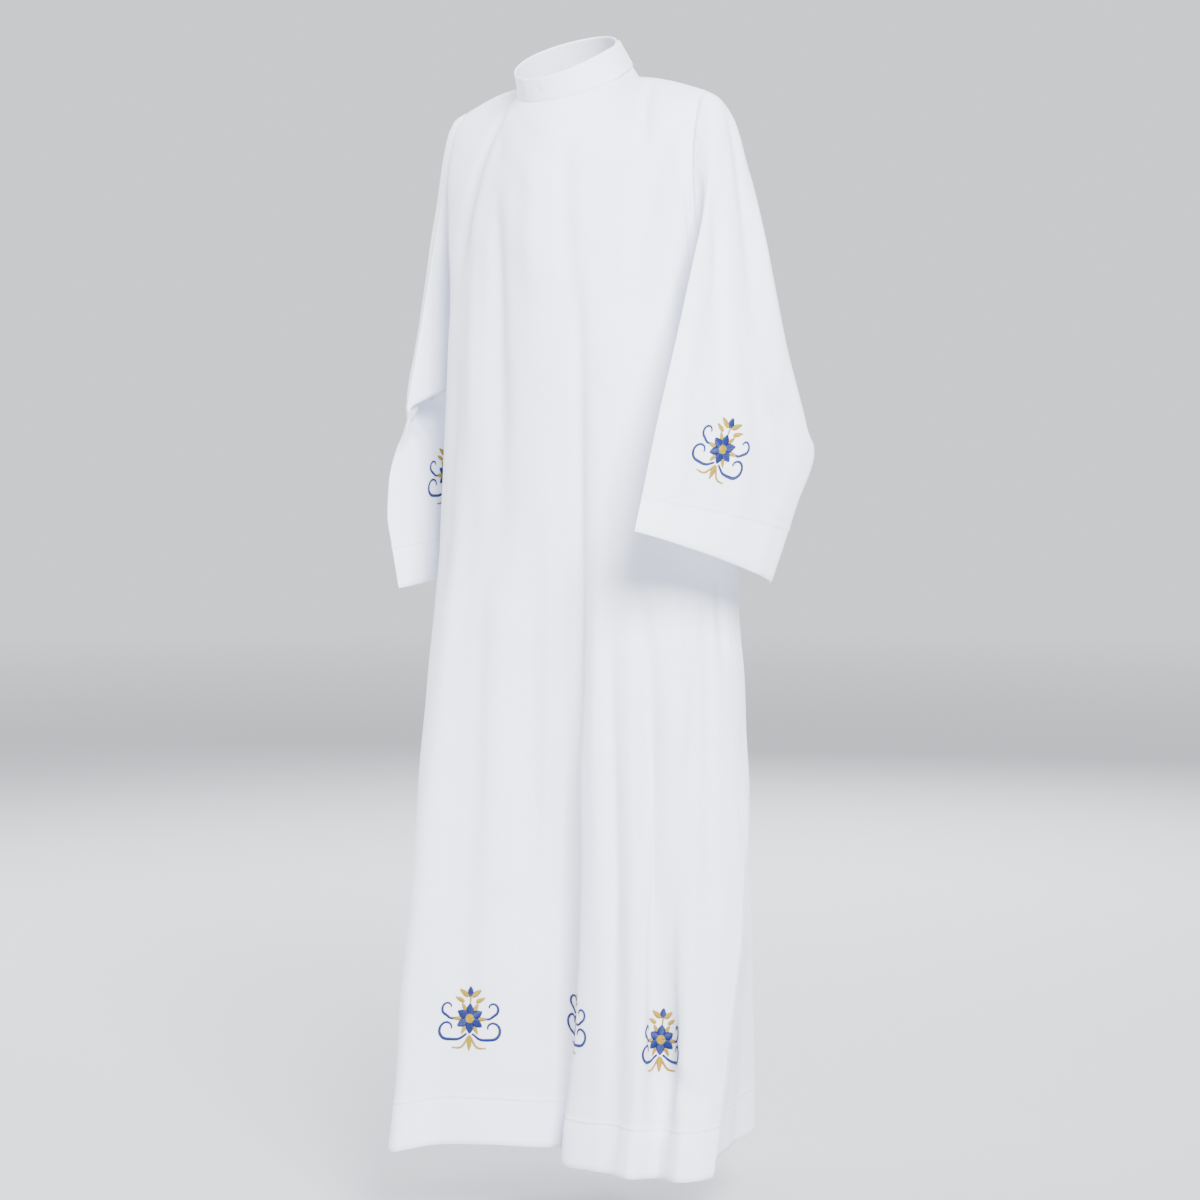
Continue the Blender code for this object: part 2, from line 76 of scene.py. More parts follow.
# Sizes of the form, in metres, as the solids have them
HEM_DEPTH = 0.064
CUFF_DEPTH = 0.058
HEM_Z = -1.433
CHEST_Z = -0.350
SLIT_Z = -1.075
ARMPIT_Z = -0.270
FOLD_GROWTH = 1.15
SHOULDER_END = (0.200, 0.036, -0.027)
ARMHOLE_FRONT = (0.201, 0.002, -0.130)
ARMHOLE_BACK = (0.201, 0.098, -0.140)
NECK_MIDDLE_Y = 0.018
NECK_HALF_WIDTH = 0.0735
NECK_HALF_DEPTH = 0.078
NECK_SLOPE = 0.45
SEAM_GAP = 0.0003
COLLAR_WALL = 0.0024
COLLAR_UNDER_ANGLE = 20
COLLAR_OVER_ANGLE = 400
COLLAR_LAP_RUN = 40
LAP_RISE = 0.5
COLLAR_ROWS = 3
NECK_COLUMNS = 9
SHOULDER_COLUMNS = 6
ARMHOLE_COLUMNS = 12
YOKE_ROWS = 8
SKIRT_ROWS = 11
HEM_ROWS = 2
EASE_PASSES = 10
EASE_ROWS = 4
NECK_SHARE = 0.34
SHOULDER_SHARE = 0.60
SHOULDER_RISE = 0.006
ARRIVING = 0.36
FRONT_POINT = 1.6
LONGEST_BAND = 0.95

# How far from a seam or pressed line the creases and waves have faded in, how much of them stays
# on the pressed line, and how far below the slit's top the side still counts as sewn
CALM_TOP = 0.020
CALM_SIDE = 0.030
CALM_PRESS = 0.028
LEAST_CALM = 0.05
SLIT_SEWN = 0.02

# How a crease narrows at its start, widens along its length and fades at its ends, how many
# waves lie over the cloth, and how the inner side and the edges are rounded
CREASE_STEPS = 24
CREASE_NARROW = 0.7
CREASE_WIDER = 0.6
CREASE_FULL = 0.8
WAVES = 14
PUCKER_START = 0.003
EVEN_PASSES = 6
EDGE_BULGE = 0.4
COLLAR_SHOWN = 0.9

# The collar band at angles round the neck: its height and how far its top leans in, in mm
COLLAR_BAND = table(dict(angle=1, height=1000, lean=1000), (
    (0, 38, 6),
    (40, 34, 11),
    (90, 33, 10),
    (180, 37, 5),
    (270, 31, 2),
    (360, 38, 6),
    (400, 34, 10),
))

# How each column leaves the neck (from 0), shoulder (1) and armhole (2): out, length, aside
LEAVING = table(dict(place=1, front_out=1, front_reach=1, front_aside=1,
                     back_out=1, back_reach=1, back_aside=1), (
    (0, 0.52, 0.26, 0, 0.5, 0.24, 0),
    (0.5, 0.66, 0.26, 0.08, 0.72, 0.28, 0.3),
    (1, 0.84, 0.27, 0.14, 0.96, 0.36, 0.34),
    (1.5, 0.84, 0.27, 0.08, 0.93, 0.36, 0.16),
    (2, 0.84, 0.26, 0, 0.84, 0.28, 0),
    (2.2, 0.5, 0.26, 0, 0.5, 0.26, 0),
    (2.5, 0.1, 0.26, 0, 0.1, 0.26, 0),
    (3, 0, 0.26, 0, 0, 0.26, 0),
))

# The body's unfolded round at heights from CHEST_Z to HEM_Z, in millimetres
ROUNDS = table(dict(z=1000, half_width=1000, front=1000, back=1000, side_y=1000), (
    (-350, 208, 150, 105, 45),
    (-600, 222, 165, 125, 50),
    (-850, 236, 175, 150, 52),
    (-1100, 250, 180, 175, 55),
    (-1433, 262, 185, 195, 58),
))

# Folds at the hem from right slit to left slit: the share of the half width in hundredths, then
# in millimetres the place, how far the hem lifts and the height where the fold starts
FOLD_PARTS = dict(share=100, x=1000, y=1000, lift=1000, top=1000)
FRONT_FOLDS = table(FOLD_PARTS, (
    (-100, -250, 20, 0, -1075),
    (-86, -268, -30, 0, -900),
    (-72, -232, -70, 4, -700),
    (-58, -208, -112, 4, -600),
    (-40, -146, -196, 12, -450),
    (-22, -95, -160, 22, -450),
    (-4, -36, -128, 24, -450),
    (12, 8, -75, 16, -400),
    (24, 24, -34, 8, -350),
    (32, 46, -74, 0, -400),
    (43, 102, -82, 0, -550),
    (51, 128, -77, 0, -750),
    (60, 164, -84, 0, -700),
    (70, 179, -48, -4, -750),
    (82, 222, -60, 0, -700),
    (91, 241, -38, 0, -900),
    (100, 246, -11, 0, -1075),
))

BACK_FOLDS = table(FOLD_PARTS, (
    (-100, -214, 52, 0, -1075),
    (-86, -238, 105, 0, -950),
    (-70, -218, 165, 0, -700),
    (-56, -190, 220, 0, -600),
    (-40, -125, 208, 0, -500),
    (-24, -85, 262, 0, -450),
    (-8, -30, 222, 0, -400),
    (10, 22, 268, 0, -450),
    (28, 66, 226, 0, -500),
    (46, 118, 256, 0, -600),
    (62, 158, 222, 0, -650),
    (76, 170, 160, 0, -800),
    (88, 188, 105, 0, -950),
    (100, 204, 55, 0, -1075),
))

# Sections of the sleeves from armhole to hem: x, y and z of these four lines in millimetres
SLEEVE_LINES = ("outer", "front", "inner", "back")
LEFT_SLEEVE = (
    (213, 37, -34, 209, 2, -133, 214, 46, -272, 210, 98, -142),
    (225, 40, -52, 220, -1, -148, 221, 46, -278, 220, 97, -152),
    (236, 42, -100, 230, -16, -185, 227, 43, -290, 231, 92, -180),
    (254, 34, -200, 239, -56, -263, 234, 30, -320, 250, 86, -245),
    (277, 10, -308, 246, -101, -356, 244, 8, -375, 276, 90, -340),
    (300, -12, -425, 250, -140, -440, 258, -15, -450, 306, 102, -450),
    (308, -22, -488, 253, -162, -488, 266, -22, -496, 317, 110, -494),
    (310, -45, -548, 256, -181, -530, 270, -48, -548, 313, 68, -566),
    (306, -86, -626, 260, -208, -589, 274, -88, -612, 305, 26, -660),
)

RIGHT_SLEEVE = (
    (-213, 37, -34, -208, 2, -133, -213, 46, -272, -210, 98, -142),
    (-226, 41, -52, -216, 2, -148, -219, 47, -278, -220, 99, -152),
    (-240, 46, -100, -222, -1, -185, -224, 50, -288, -232, 104, -180),
    (-262, 52, -195, -232, -10, -262, -230, 56, -312, -250, 120, -245),
    (-282, 58, -300, -240, -22, -346, -233, 60, -352, -268, 138, -335),
    (-300, 60, -385, -247, -31, -405, -230, 60, -378, -281, 148, -395),
    (-303, 60, -405, -249, -35, -434, -230, 60, -400, -284, 150, -410),
    (-304, 60, -415, -247, -33, -442, -272, 60, -398, -284, 149, -422),
    (-305, 58, -440, -249, -43, -482, -272, 58, -430, -283, 148, -445),
    (-305, 55, -475, -256, -52, -497, -256, 54, -474, -282, 146, -480),
    (-304, 50, -520, -259, -62, -532, -247, 48, -522, -281, 142, -522),
    (-302, 45, -566, -259, -66, -580, -243, 42, -566, -279, 140, -566),
    (-296, 42, -614, -254, -62, -625, -240, 40, -612, -276, 138, -606),
    (-290, 42, -672, -247, -57, -680, -240, 38, -668, -272, 136, -662),
)

# Creases: place and height of the start and of the end, width and depth (below 0 for a ridge).
# Some are deepest away from their middle (peak), keep some of their depth at their start and at
# their end, or are wider on their lower side. Places, the peak and what is kept are given in
# hundredths of the half width or of the whole, the rest in millimetres.
CREASE_PARTS = (100, 1000, 100, 1000, 1000, 1000, 100, 100, 100, 1000)
USUAL_CREASE = (0, 0, 0, 0, 0, 0, 50, 0, 0, 0)
FRONT_CREASES = (
    (-33, -45, -46, -320, 16, 9.5, 50, 50),
    (-22, -60, -34, -240, 16, -5.5, 50, 30),
    (-16, -130, -5, -700, 20, 9.5, 35),
    (-30, -200, -24, -560, 16, -5),
    (-42, -330, -40, -700, 20, 7),
    (2, -90, 10, -420, 20, -4.5, 40),
    (16, -80, 27, -420, 17, 6.5, 50, 20),
    (26, -260, 31, -900, 12, 10, 70),
    (42, -10, 47, -110, 9, 4.5, 50, 80),
    (55, -60, 48, -340, 18, 6, 50, 20),
    (70, -100, 60, -400, 16, -5),
    (85, -165, 72, -460, 16, 8, 50, 30),
    (-86, -180, -70, -440, 17, 8, 50, 30),
    (8, -560, 13, -1300, 40, 22, 60),
    (-28, -480, -32, -1260, 24, -8),
    (-13, -620, -15, -1360, 20, 7, 60),
    (36, -460, 41, -1200, 12, -6),
    (41, -700, 50, -1400, 11, 11, 55),
    (46, -700, 56, -1300, 11, -6),
    (48, -600, 72, -1385, 15, 19, 80),
    (60, -560, 79, -1300, 16, -7, 70),
    (82, -640, 88, -1200, 14, 5, 40),
    (28, -700, 30, -1380, 20, 15, 70),
    (92, -640, 95, -780, 9, 8),
    (-9, -1082, 9, -1092, 6, 2.2),
    (76, -1290, 92, -1350, 12, 7),
    (-62, -620, -64, -1240, 16, 8),
)

BACK_CREASES = (
    (0, -20, 2, -340, 18, 6, 50, 30),
    (-28, -60, -20, -480, 18, 8.5, 50, 30),
    (30, -60, 22, -420, 16, 7.5, 50, 30),
    (-12, -120, -9, -520, 14, -5),
    (84, -180, 66, -480, 18, 9, 50, 20),
    (-84, -170, -64, -500, 18, 9, 50, 20),
    (70, -200, 56, -560, 14, -5.5),
    (48, -200, 44, -680, 18, 8),
    (-46, -240, -44, -760, 18, 8),
    (-2, -360, 0, -900, 15, -7.5),
    (17, -420, 19, -1120, 12, 9.5, 60),
    (-33, -520, -33, -1220, 14, 9.5, 60),
    (38, -640, 36, -1260, 12, -5),
    (-16, -620, -16, -1300, 12, 7, 60),
    (70, -520, 72, -1160, 13, 9.5),
    (-78, -560, -78, -1180, 13, 8),
    (-58, -700, -56, -1280, 12, -5),
)

# On the sleeves a place is one round the sleeve: 0 outer side, 25 front crease, 50 inner side,
# 75 back
LEFT_SLEEVE_CREASES = (
    (98, -60, 97, -360, 13, 6, 50, 40),
    (10, -120, 7, -460, 14, 6, 50, 20),
    (86, -130, 90, -420, 14, -5.5, 50, 20),
    (20, -190, 13, -560, 16, -5),
    (80, -470, 97, -430, 13, 6, 50, 40),
    (4, -300, 0, -560, 16, -3.5),
    (50, -300, 42, -480, 14, 7, 50, 40),
    (62, -220, 66, -520, 14, 6, 50, 20),
)

RIGHT_SLEEVE_CREASES = (
    (98, -60, 96, -320, 13, 6, 50, 40),
    (20, -130, 16, -380, 13, 5.5, 50, 20),
    (86, -160, 90, -390, 14, -5.5, 50, 20),
    (4, -400, 20, -450, 12, 4, 50, 40),
    (90, -410, 78, -440, 11, 7, 50, 40),
    (48, -410, 29, -437, 5, 15, 30, 90, 0, 34),
    (10, -480, 12, -640, 13, 5, 50, 20),
    (60, -450, 62, -600, 12, -4),
)

COLLAR_CREASES = (
    (31.8, -10, 33.5, -30, 4, 1, 50, 40),
    (23.5, 0, 22.5, -34, 6, -1.2, 50, 100, 50),
    (-40, 20, -36, 50, 6, 0.8, 50, 40),
)

# Embroidered flowers: the place of the middle (as a share of the half width on the front, or
# round a sleeve), its height, and how far it turns in degrees
FLOWERS = {
    "front": ((-0.868, -1.236, 0), (-0.565, -1.240, 0), (-0.119, -1.242, 0),
              (0.297, -1.241, 0), (0.694, -1.258, 0)),
    "left_sleeve": ((0.055, -0.490, -20),),
    "right_sleeve": ((0.50, -0.525, 0),),
}

# How each piece is made fine and uneven: its creases, the seed and height of its waves, then its
# lines of puckers: seed, at the hem or the armhole, numbers of ripples, depth and reach
UNEVEN = {
    "front": (FRONT_CREASES, 11, 0.0013, ((17, "hem", (29, 43, 61), 0.0005, 0.012),)),
    "back": (BACK_CREASES, 12, 0.0013, ((18, "hem", (29, 43, 61), 0.0005, 0.012),)),
    "left_sleeve": (LEFT_SLEEVE_CREASES, 13, 0.0009,
                    ((15, "armhole", (17, 23, 31), 0.0012, 0.014),
                     (19, "hem", (13, 19, 29), 0.0004, 0.010))),
    "right_sleeve": (RIGHT_SLEEVE_CREASES, 14, 0.0009,
                     ((16, "armhole", (17, 23, 31), 0.0012, 0.014),
                      (20, "hem", (13, 19, 29), 0.0004, 0.010))),
}
PANEL_PARTS = [5] * YOKE_ROWS + [8] * SKIRT_ROWS + [4] * HEM_ROWS
PANEL_COLUMN_PARTS = 4
SLEEVE_COLUMN_PARTS = 6
SLEEVE_FINE_ROW = 0.007
COLLAR_PARTS = 5
WAVE_NUMBERS = (2, 14)
WAVE_LENGTHS = (0.15, 0.60)


def unit(vectors):
    """Vectors of length 1 in the same directions."""
    return vectors / np.linalg.norm(vectors, axis=-1, keepdims=True)


def run_lengths(points):
    """Length along a line of points, at each of them."""
    steps = np.linalg.norm(np.diff(points, axis=0), axis=1)
    return np.concatenate(((0.0,), np.cumsum(steps)))


def points_at(wanted, lengths, points):
    """Points at some lengths along a line of points."""
    return np.stack([np.interp(wanted, lengths, column) for column in points.T], axis=-1)


def linked(name, data):
    """A new object in the scene."""
    item = bpy.data.objects.new(name, data)
    bpy.context.scene.collection.objects.link(item)
    return item


def smooth_table(rows, key, column, at):
    """Value of one column of a table at a key, on a smooth curve through its rows."""
    keys, values = rows[key], rows[column]
    if keys[0] > keys[-1]:
        keys, values = keys[::-1], values[::-1]
    at = float(np.clip(at, keys[0], keys[-1]))
    return resample(values, keys, np.array([at]))[0]


def resample(values, keys, wanted, steady=False):
    """Values at the wanted keys, on smooth curves through the given ones, along the first axis.

    A steady curve turns no further than its points do, so that it keeps a sharp bend."""
    slopes = np.gradient(values, keys, axis=0)
    if steady:
        steps = np.diff(values, axis=0) / np.diff(keys).reshape((-1,) + (1,) * (values.ndim - 1))
        before, after = steps[:-1], steps[1:]
        same = before * after > 0
        total = np.where(same, before + after, 1.0)
        slopes[1:-1] = np.where(same, 2 * before * after / total, 0.0)
    index = np.clip(np.searchsorted(keys, wanted) - 1, 0, len(keys) - 2)
    shape = (-1,) + (1,) * (values.ndim - 1)
    span = (keys[index + 1] - keys[index]).reshape(shape)
    t = (wanted - keys[index]).reshape(shape) / span
    start, end = values[index], values[index + 1]
    return (start * (2 * t**3 - 3 * t**2 + 1) + slopes[index] * span * (t**3 - 2 * t**2 + t)
            + end * (3 * t**2 - 2 * t**3) + slopes[index + 1] * span * (t**3 - t**2))


def neck_seam(angle):
    """Point of the neck seam; 0 degrees is the wearer's left, 90 the nape."""
    x = NECK_HALF_WIDTH * math.cos(math.radians(angle))
    y = NECK_MIDDLE_Y + NECK_HALF_DEPTH * math.sin(math.radians(angle))
    return np.array((x, y, NECK_SLOPE * (y - NECK_MIDDLE_Y)))


def quarter(start, end, centre, t):
    """Point on a quarter of an oval about a centre, from start to end."""
    angle = t * math.pi / 2
    start, end, centre = np.array(start), np.array(end), np.array(centre)
    return centre + (start - centre) * math.cos(angle) + (end - centre) * math.sin(angle)


def armhole_edge(facing, t):
    """Point of the left armhole's front or back edge, from the shoulder to the armpit."""
    middle = ARMHOLE_FRONT if facing < 0 else ARMHOLE_BACK
    armpit = (ROUNDS["half_width"][0], ROUNDS["side_y"][0], ARMPIT_Z)
    if t < 0.5:
        return quarter(SHOULDER_END, middle, (middle[0], SHOULDER_END[1], middle[2]), 2 * t)
    return quarter(middle, armpit, (armpit[0], armpit[1], middle[2]), 2 * t - 1)


def top_edge(facing, column):
    """Top point and chest share of one column of the left half, from the middle outwards."""
    if column <= NECK_COLUMNS:
        t = column / NECK_COLUMNS
        middle_angle = -90 if facing < 0 else 90
        return neck_seam(middle_angle * (1 - t)), NECK_SHARE * t
    if column <= NECK_COLUMNS + SHOULDER_COLUMNS:
        t = (column - NECK_COLUMNS) / SHOULDER_COLUMNS
        start, end = neck_seam(0), np.array(SHOULDER_END)
        point = start + (end - start) * t
        point[2] += SHOULDER_RISE * math.sin(math.pi * t)
        return point, NECK_SHARE + (SHOULDER_SHARE - NECK_SHARE) * t
    t = (column - NECK_COLUMNS - SHOULDER_COLUMNS) / ARMHOLE_COLUMNS
    return armhole_edge(facing, t), SHOULDER_SHARE + (1 - SHOULDER_SHARE) * t


def round_point(facing, share, z):
    """Point of the body's unfolded round at a height; a share of 1 is the left side seam."""
    half_width = smooth_table(ROUNDS, "z", "half_width", z)
    depth = smooth_table(ROUNDS, "z", "front" if facing < 0 else "back", z)
    side_y = smooth_table(ROUNDS, "z", "side_y", z)
    angle = share * math.pi / 2
    return np.array((half_width * math.sin(angle),
                     side_y + facing * depth * math.cos(angle), z))


def skirt_point(facing, share, chest_share, z):
    """Point of a panel below the chest: the plain round, and the fold that grows to the hem."""
    folds = FRONT_FOLDS if facing < 0 else BACK_FOLDS
    drop = (CHEST_Z - z) / (CHEST_Z - HEM_Z)
    plain = round_point(facing, chest_share + (share - chest_share) * drop, z)
    hem = round_point(facing, share, HEM_Z)
    folded = np.array([smooth_table(folds, "share", column, share) for column in ("x", "y")])
    top = smooth_table(folds, "share", "top", share)
    growth = max(0.0, (top - z) / (top - HEM_Z)) ** FOLD_GROWTH
    plain[:2] += (folded - hem[:2]) * growth
    plain[2] += smooth_table(folds, "share", "lift", share) * drop
    return plain


def top_place(number):
    """Place of a column along the top edge, as the table LEAVING counts it."""
    if number <= NECK_COLUMNS:
        return number / NECK_COLUMNS
    if number <= NECK_COLUMNS + SHOULDER_COLUMNS:
        return 1 + (number - NECK_COLUMNS) / SHOULDER_COLUMNS
    return 2 + (number - NECK_COLUMNS - SHOULDER_COLUMNS) / ARMHOLE_COLUMNS


def yoke_curve(facing, side, top, chest, below, place):
    """Rows of a column from the top edge over the chest, rounded at both ends."""
    length = np.linalg.norm(chest - top)
    panel = "front" if facing < 0 else "back"
    outward, reach, aside = (smooth_table(LEAVING, "place", f"{panel}_{part}", place)
                             for part in ("out", "reach", "aside"))
    outward = float(np.clip(outward, 0, 1))
    leaving = np.array((side * aside, facing * outward, -math.sqrt(1 - outward**2)))
    first = top + leaving * reach * length
    second = chest + unit(chest - below) * ARRIVING * length
    steps = [row / YOKE_ROWS for row in range(YOKE_ROWS)]
    return [top * (1 - t)**3 + first * 3 * t * (1 - t)**2 + second * 3 * t**2 * (1 - t)
            + chest * t**3 for t in steps]


def skirt_levels():
    """Heights of the rows below the chest, with the hem band's own rows at the end."""
    band_top = HEM_Z + HEM_DEPTH
    levels = [CHEST_Z + (band_top - CHEST_Z) * row / SKIRT_ROWS for row in range(SKIRT_ROWS + 1)]
    levels += [band_top - HEM_DEPTH * row / HEM_ROWS for row in range(1, HEM_ROWS + 1)]
    nearest = min(range(len(levels)), key=lambda i: abs(levels[i] - SLIT_Z))
    levels[nearest] = SLIT_Z
    return levels


def panel_form(facing):
    """Columns of the front (facing -1) or the back (facing 1), right seam to left seam."""
    count = NECK_COLUMNS + SHOULDER_COLUMNS + ARMHOLE_COLUMNS
    levels = skirt_levels()
    columns = []
    for number in range(-count, count + 1):
        side = -1 if number < 0 else 1
        top, chest_share = top_edge(facing, abs(number))
        top[0] *= side
        chest_share *= side
        share = number / count
        fall = [skirt_point(facing, share, chest_share, z) for z in levels]
        yoke = yoke_curve(facing, side, top, fall[0], fall[1], top_place(abs(number)))
        columns.append(np.array(yoke + fall))
    columns = np.array(columns)
    ease = np.clip(np.arange(1, YOKE_ROWS) / EASE_ROWS, 0, 1)[None, :, None] / 2
    for _ in range(EASE_PASSES):
        middle = columns[1:-1, 1:YOKE_ROWS]
        beside = (columns[:-2, 1:YOKE_ROWS] + columns[2:, 1:YOKE_ROWS]) / 2
        columns[1:-1, 1:YOKE_ROWS] = middle + (beside - middle) * ease
    return columns


def armhole_ring(side):
    """Points round one armhole: shoulder, front, armpit, back."""
    front = [armhole_edge(-1, i / ARMHOLE_COLUMNS) for i in range(ARMHOLE_COLUMNS)]
    back = [armhole_edge(1, 1 - i / ARMHOLE_COLUMNS) for i in range(ARMHOLE_COLUMNS)]
    ring = np.array(front + back)
    ring[:, 0] *= side
    return ring


def sleeve_section(outer, front, inner, back):
    """Ring of a sleeve through its four lines, pointed at the front crease."""
    middle = (front + back) / 2
    ring = []
    for angle in (2 * math.pi * i / (2 * ARMHOLE_COLUMNS) for i in range(2 * ARMHOLE_COLUMNS)):
        across, bulge = math.sin(angle), abs(math.cos(angle))
        if across > 0:
            bulge = bulge ** FRONT_POINT
        reach = outer - middle if math.cos(angle) > 0 else inner - middle
        ring.append(middle + (front - back) / 2 * across + reach * bulge)
    return ring


def sleeve_form(rows, side):
    """Grid of a sleeve from the armhole to its hem, with a row at the top of the hem band."""
    sections = [dict(zip(SLEEVE_LINES, points))
                for points in np.array(rows).reshape(-1, 4, 3) / 1000]
    before, cuff = sections[-2:]
    length = np.linalg.norm((cuff["front"] + cuff["back"] - before["front"] - before["back"]) / 2)
    share = CUFF_DEPTH / length
    if share < LONGEST_BAND:
        band = {line: cuff[line] + (before[line] - cuff[line]) * share for line in cuff}
        sections.insert(-1, band)
    rings = [armhole_ring(side)] + [sleeve_section(**section) for section in sections]
    return np.array(rings).transpose(1, 0, 2)


def collar_column(angle):
    """Points of the collar band at one angle, from its top edge to the neck seam."""
    base = neck_seam(angle)
    height = smooth_table(COLLAR_BAND, "angle", "height", angle)
    lean = smooth_table(COLLAR_BAND, "angle", "lean", angle)
    tilt = math.atan(NECK_SLOPE)
    up = np.array((0.0, -math.sin(tilt), math.cos(tilt)))
    out = np.array((math.cos(math.radians(angle)), math.sin(math.radians(angle)), 0.0))
    lap_start = COLLAR_UNDER_ANGLE + 360 - COLLAR_LAP_RUN
    lap = (COLLAR_WALL + SEAM_GAP) * float(np.clip((angle - lap_start) / COLLAR_LAP_RUN, 0, 1))
    foot = base + up * LAP_RISE * lap + out * lap
    top = base + up * height + out * (lap - lean)
    return [top + (foot - top) * row / COLLAR_ROWS for row in range(COLLAR_ROWS + 1)]


def collar_form():
    """Grid of the collar band, from the end underneath round to the closing end."""
    step = 90 // NECK_COLUMNS
    angles = range(COLLAR_UNDER_ANGLE, COLLAR_OVER_ANGLE + step, step)
    return np.array([collar_column(angle) for angle in angles])


class Cloth:
    """A fine grid on the outer side of one piece of cloth, with its normals and lengths."""

    def __init__(self, points, closed, outward, double_from):
        self.points = points
        self.closed = closed
        self.outward = outward
        self.double_from = double_from
        self.measure()

    def measure(self):
        """Normals and the lengths across and down the cloth, after a change to its points."""
        points = self.points
        if self.closed:
            across = np.roll(points, -1, axis=0) - np.roll(points, 1, axis=0)
        else:
            across = np.gradient(points, axis=0)
        self.normals = unit(np.cross(across, np.gradient(points, axis=1)) * self.outward)
        steps = np.linalg.norm(np.diff(points, axis=0), axis=2)
        self.across = np.concatenate((np.zeros((1, points.shape[1])), np.cumsum(steps, axis=0)))
        drops = np.linalg.norm(np.diff(points, axis=1), axis=2)
        self.down = np.concatenate((np.zeros((len(points), 1)), np.cumsum(drops, axis=1)), axis=1)

    def move(self, heights):
        """Raise the cloth by heights over its columns and rows."""
        self.points = self.points + self.normals * heights[..., None]
        self.measure()

    def sample(self, grid, columns, rows):
        """Values of a grid at places between its columns and rows."""
        count, depth = grid.shape[:2]
        columns, rows = np.asarray(columns, dtype=float), np.asarray(rows, dtype=float)
        if self.closed:
            columns = columns % count
            left = np.floor(columns).astype(int)
            right = (left + 1) % count
        else:
            columns = np.clip(columns, 0, count - 1)
            left = np.minimum(columns.astype(int), count - 2)
            right = left + 1
        rows = np.clip(rows, 0, depth - 1)
        upper = np.minimum(rows.astype(int), depth - 2)
        a, b = (columns - left)[..., None], (rows - upper)[..., None]
        top = grid[left, upper] * (1 - a) + grid[right, upper] * a
        bottom = grid[left, upper + 1] * (1 - a) + grid[right, upper + 1] * a
        return top * (1 - b) + bottom * b

    def at(self, columns, rows, height=0.0):
        """Points at a height over the cloth, and the normals there."""
        normals = unit(self.sample(self.normals, columns, rows))
        return self.sample(self.points, columns, rows) + normals * np.asarray(height), normals

    def row_at_height(self, column, z):
        """Row of a column that lies at a height."""
        heights = self.points[int(round(column)) % len(self.points), :, 2]
        return float(np.interp(-z, -heights, np.arange(len(heights))))

    def row_of_stitches(self):
        """Row of the line of stitches along the top of the hem."""
        band = self.down[0, self.double_from]
        return float(np.interp(band + STITCH_BELOW, self.down[0], np.arange(len(self.down[0]))))


def fine_keys(lengths, parts, band_row, band_grooves):
    """Keys of the fine rows: each stretch in parts, and close rows where the hem is sewn."""
    keys = []
    for i, count in enumerate(parts):
        keys += list(np.linspace(lengths[i], lengths[i + 1], count, endpoint=False))
    keys.append(lengths[-1])
    keys += [lengths[band_row] + groove for groove in band_grooves]
    return np.array(sorted(set(keys)))


# Rows close to the top of the turned-up hem, and the shape of the cloth there
HEM_GROOVES = (-0.0060, -0.0035, -0.0020, -0.0008, 0.0010, 0.0022, 0.0030, 0.0038, 0.0050)
STITCH_BELOW = 0.0030
GROOVE_WIDTH = 0.0009
GROOVE_DEPTH = 0.0003
RIDGE_ABOVE = 0.0010
RIDGE_WIDTH = 0.0022
RIDGE_HEIGHT = 0.0008
HEM_STEP = 0.004


def fine_cloth(form, closed, outward, column_parts, row_parts, band_row):
    """The fine grid through a form's points, with the groove where its hem is stitched."""
    drops = np.linalg.norm(np.diff(form, axis=1), axis=2).mean(axis=0)
    lengths = np.concatenate(((0.0,), np.cumsum(drops)))
    rows = fine_keys(lengths, row_parts, band_row, HEM_GROOVES if band_row else ())
    form = resample(form.transpose(1, 0, 2), lengths, rows, closed).transpose(1, 0, 2)
    count = len(form)
    if closed:
        padded = np.concatenate((form[-2:], form, form[:3]))
        keys = np.arange(-2.0, count + 3.0)
        wanted = np.arange(count * column_parts) / column_parts
    else:
        padded, keys = form, np.arange(float(count))
        wanted = np.arange((count - 1) * column_parts + 1) / column_parts
    points = resample(padded, keys, wanted)
    band = lengths[band_row] if band_row else lengths[-1] + 1
    cloth = Cloth(points, closed, outward, int(np.searchsorted(rows, band)) if band_row else -1)
    if band_row:
        groove = np.exp(-((rows - band - STITCH_BELOW) / GROOVE_WIDTH) ** 2) * GROOVE_DEPTH
        ridge = np.exp(-((rows - band + RIDGE_ABOVE) / RIDGE_WIDTH) ** 2) * RIDGE_HEIGHT
        cloth.move((ridge - groove)[None, :])
    return cloth


def column_of(cloth, place):
    """Column at a place: from -1 to 1 across a panel, or from 0 to 1 round a sleeve or collar."""
    if cloth.closed:
        return place * len(cloth.points)
    return (place + 1) / 2 * (len(cloth.points) - 1)


def crease_path(cloth, start, end):
    """Points along one crease, on the cloth."""
    steps = np.linspace(0, 1, CREASE_STEPS)
    path = []
    for t in steps:
        place, z = start + (end - start) * t
        column = column_of(cloth, place)
        path.append(cloth.at(column, cloth.row_at_height(column, z))[0])
    return steps, np.array(path)


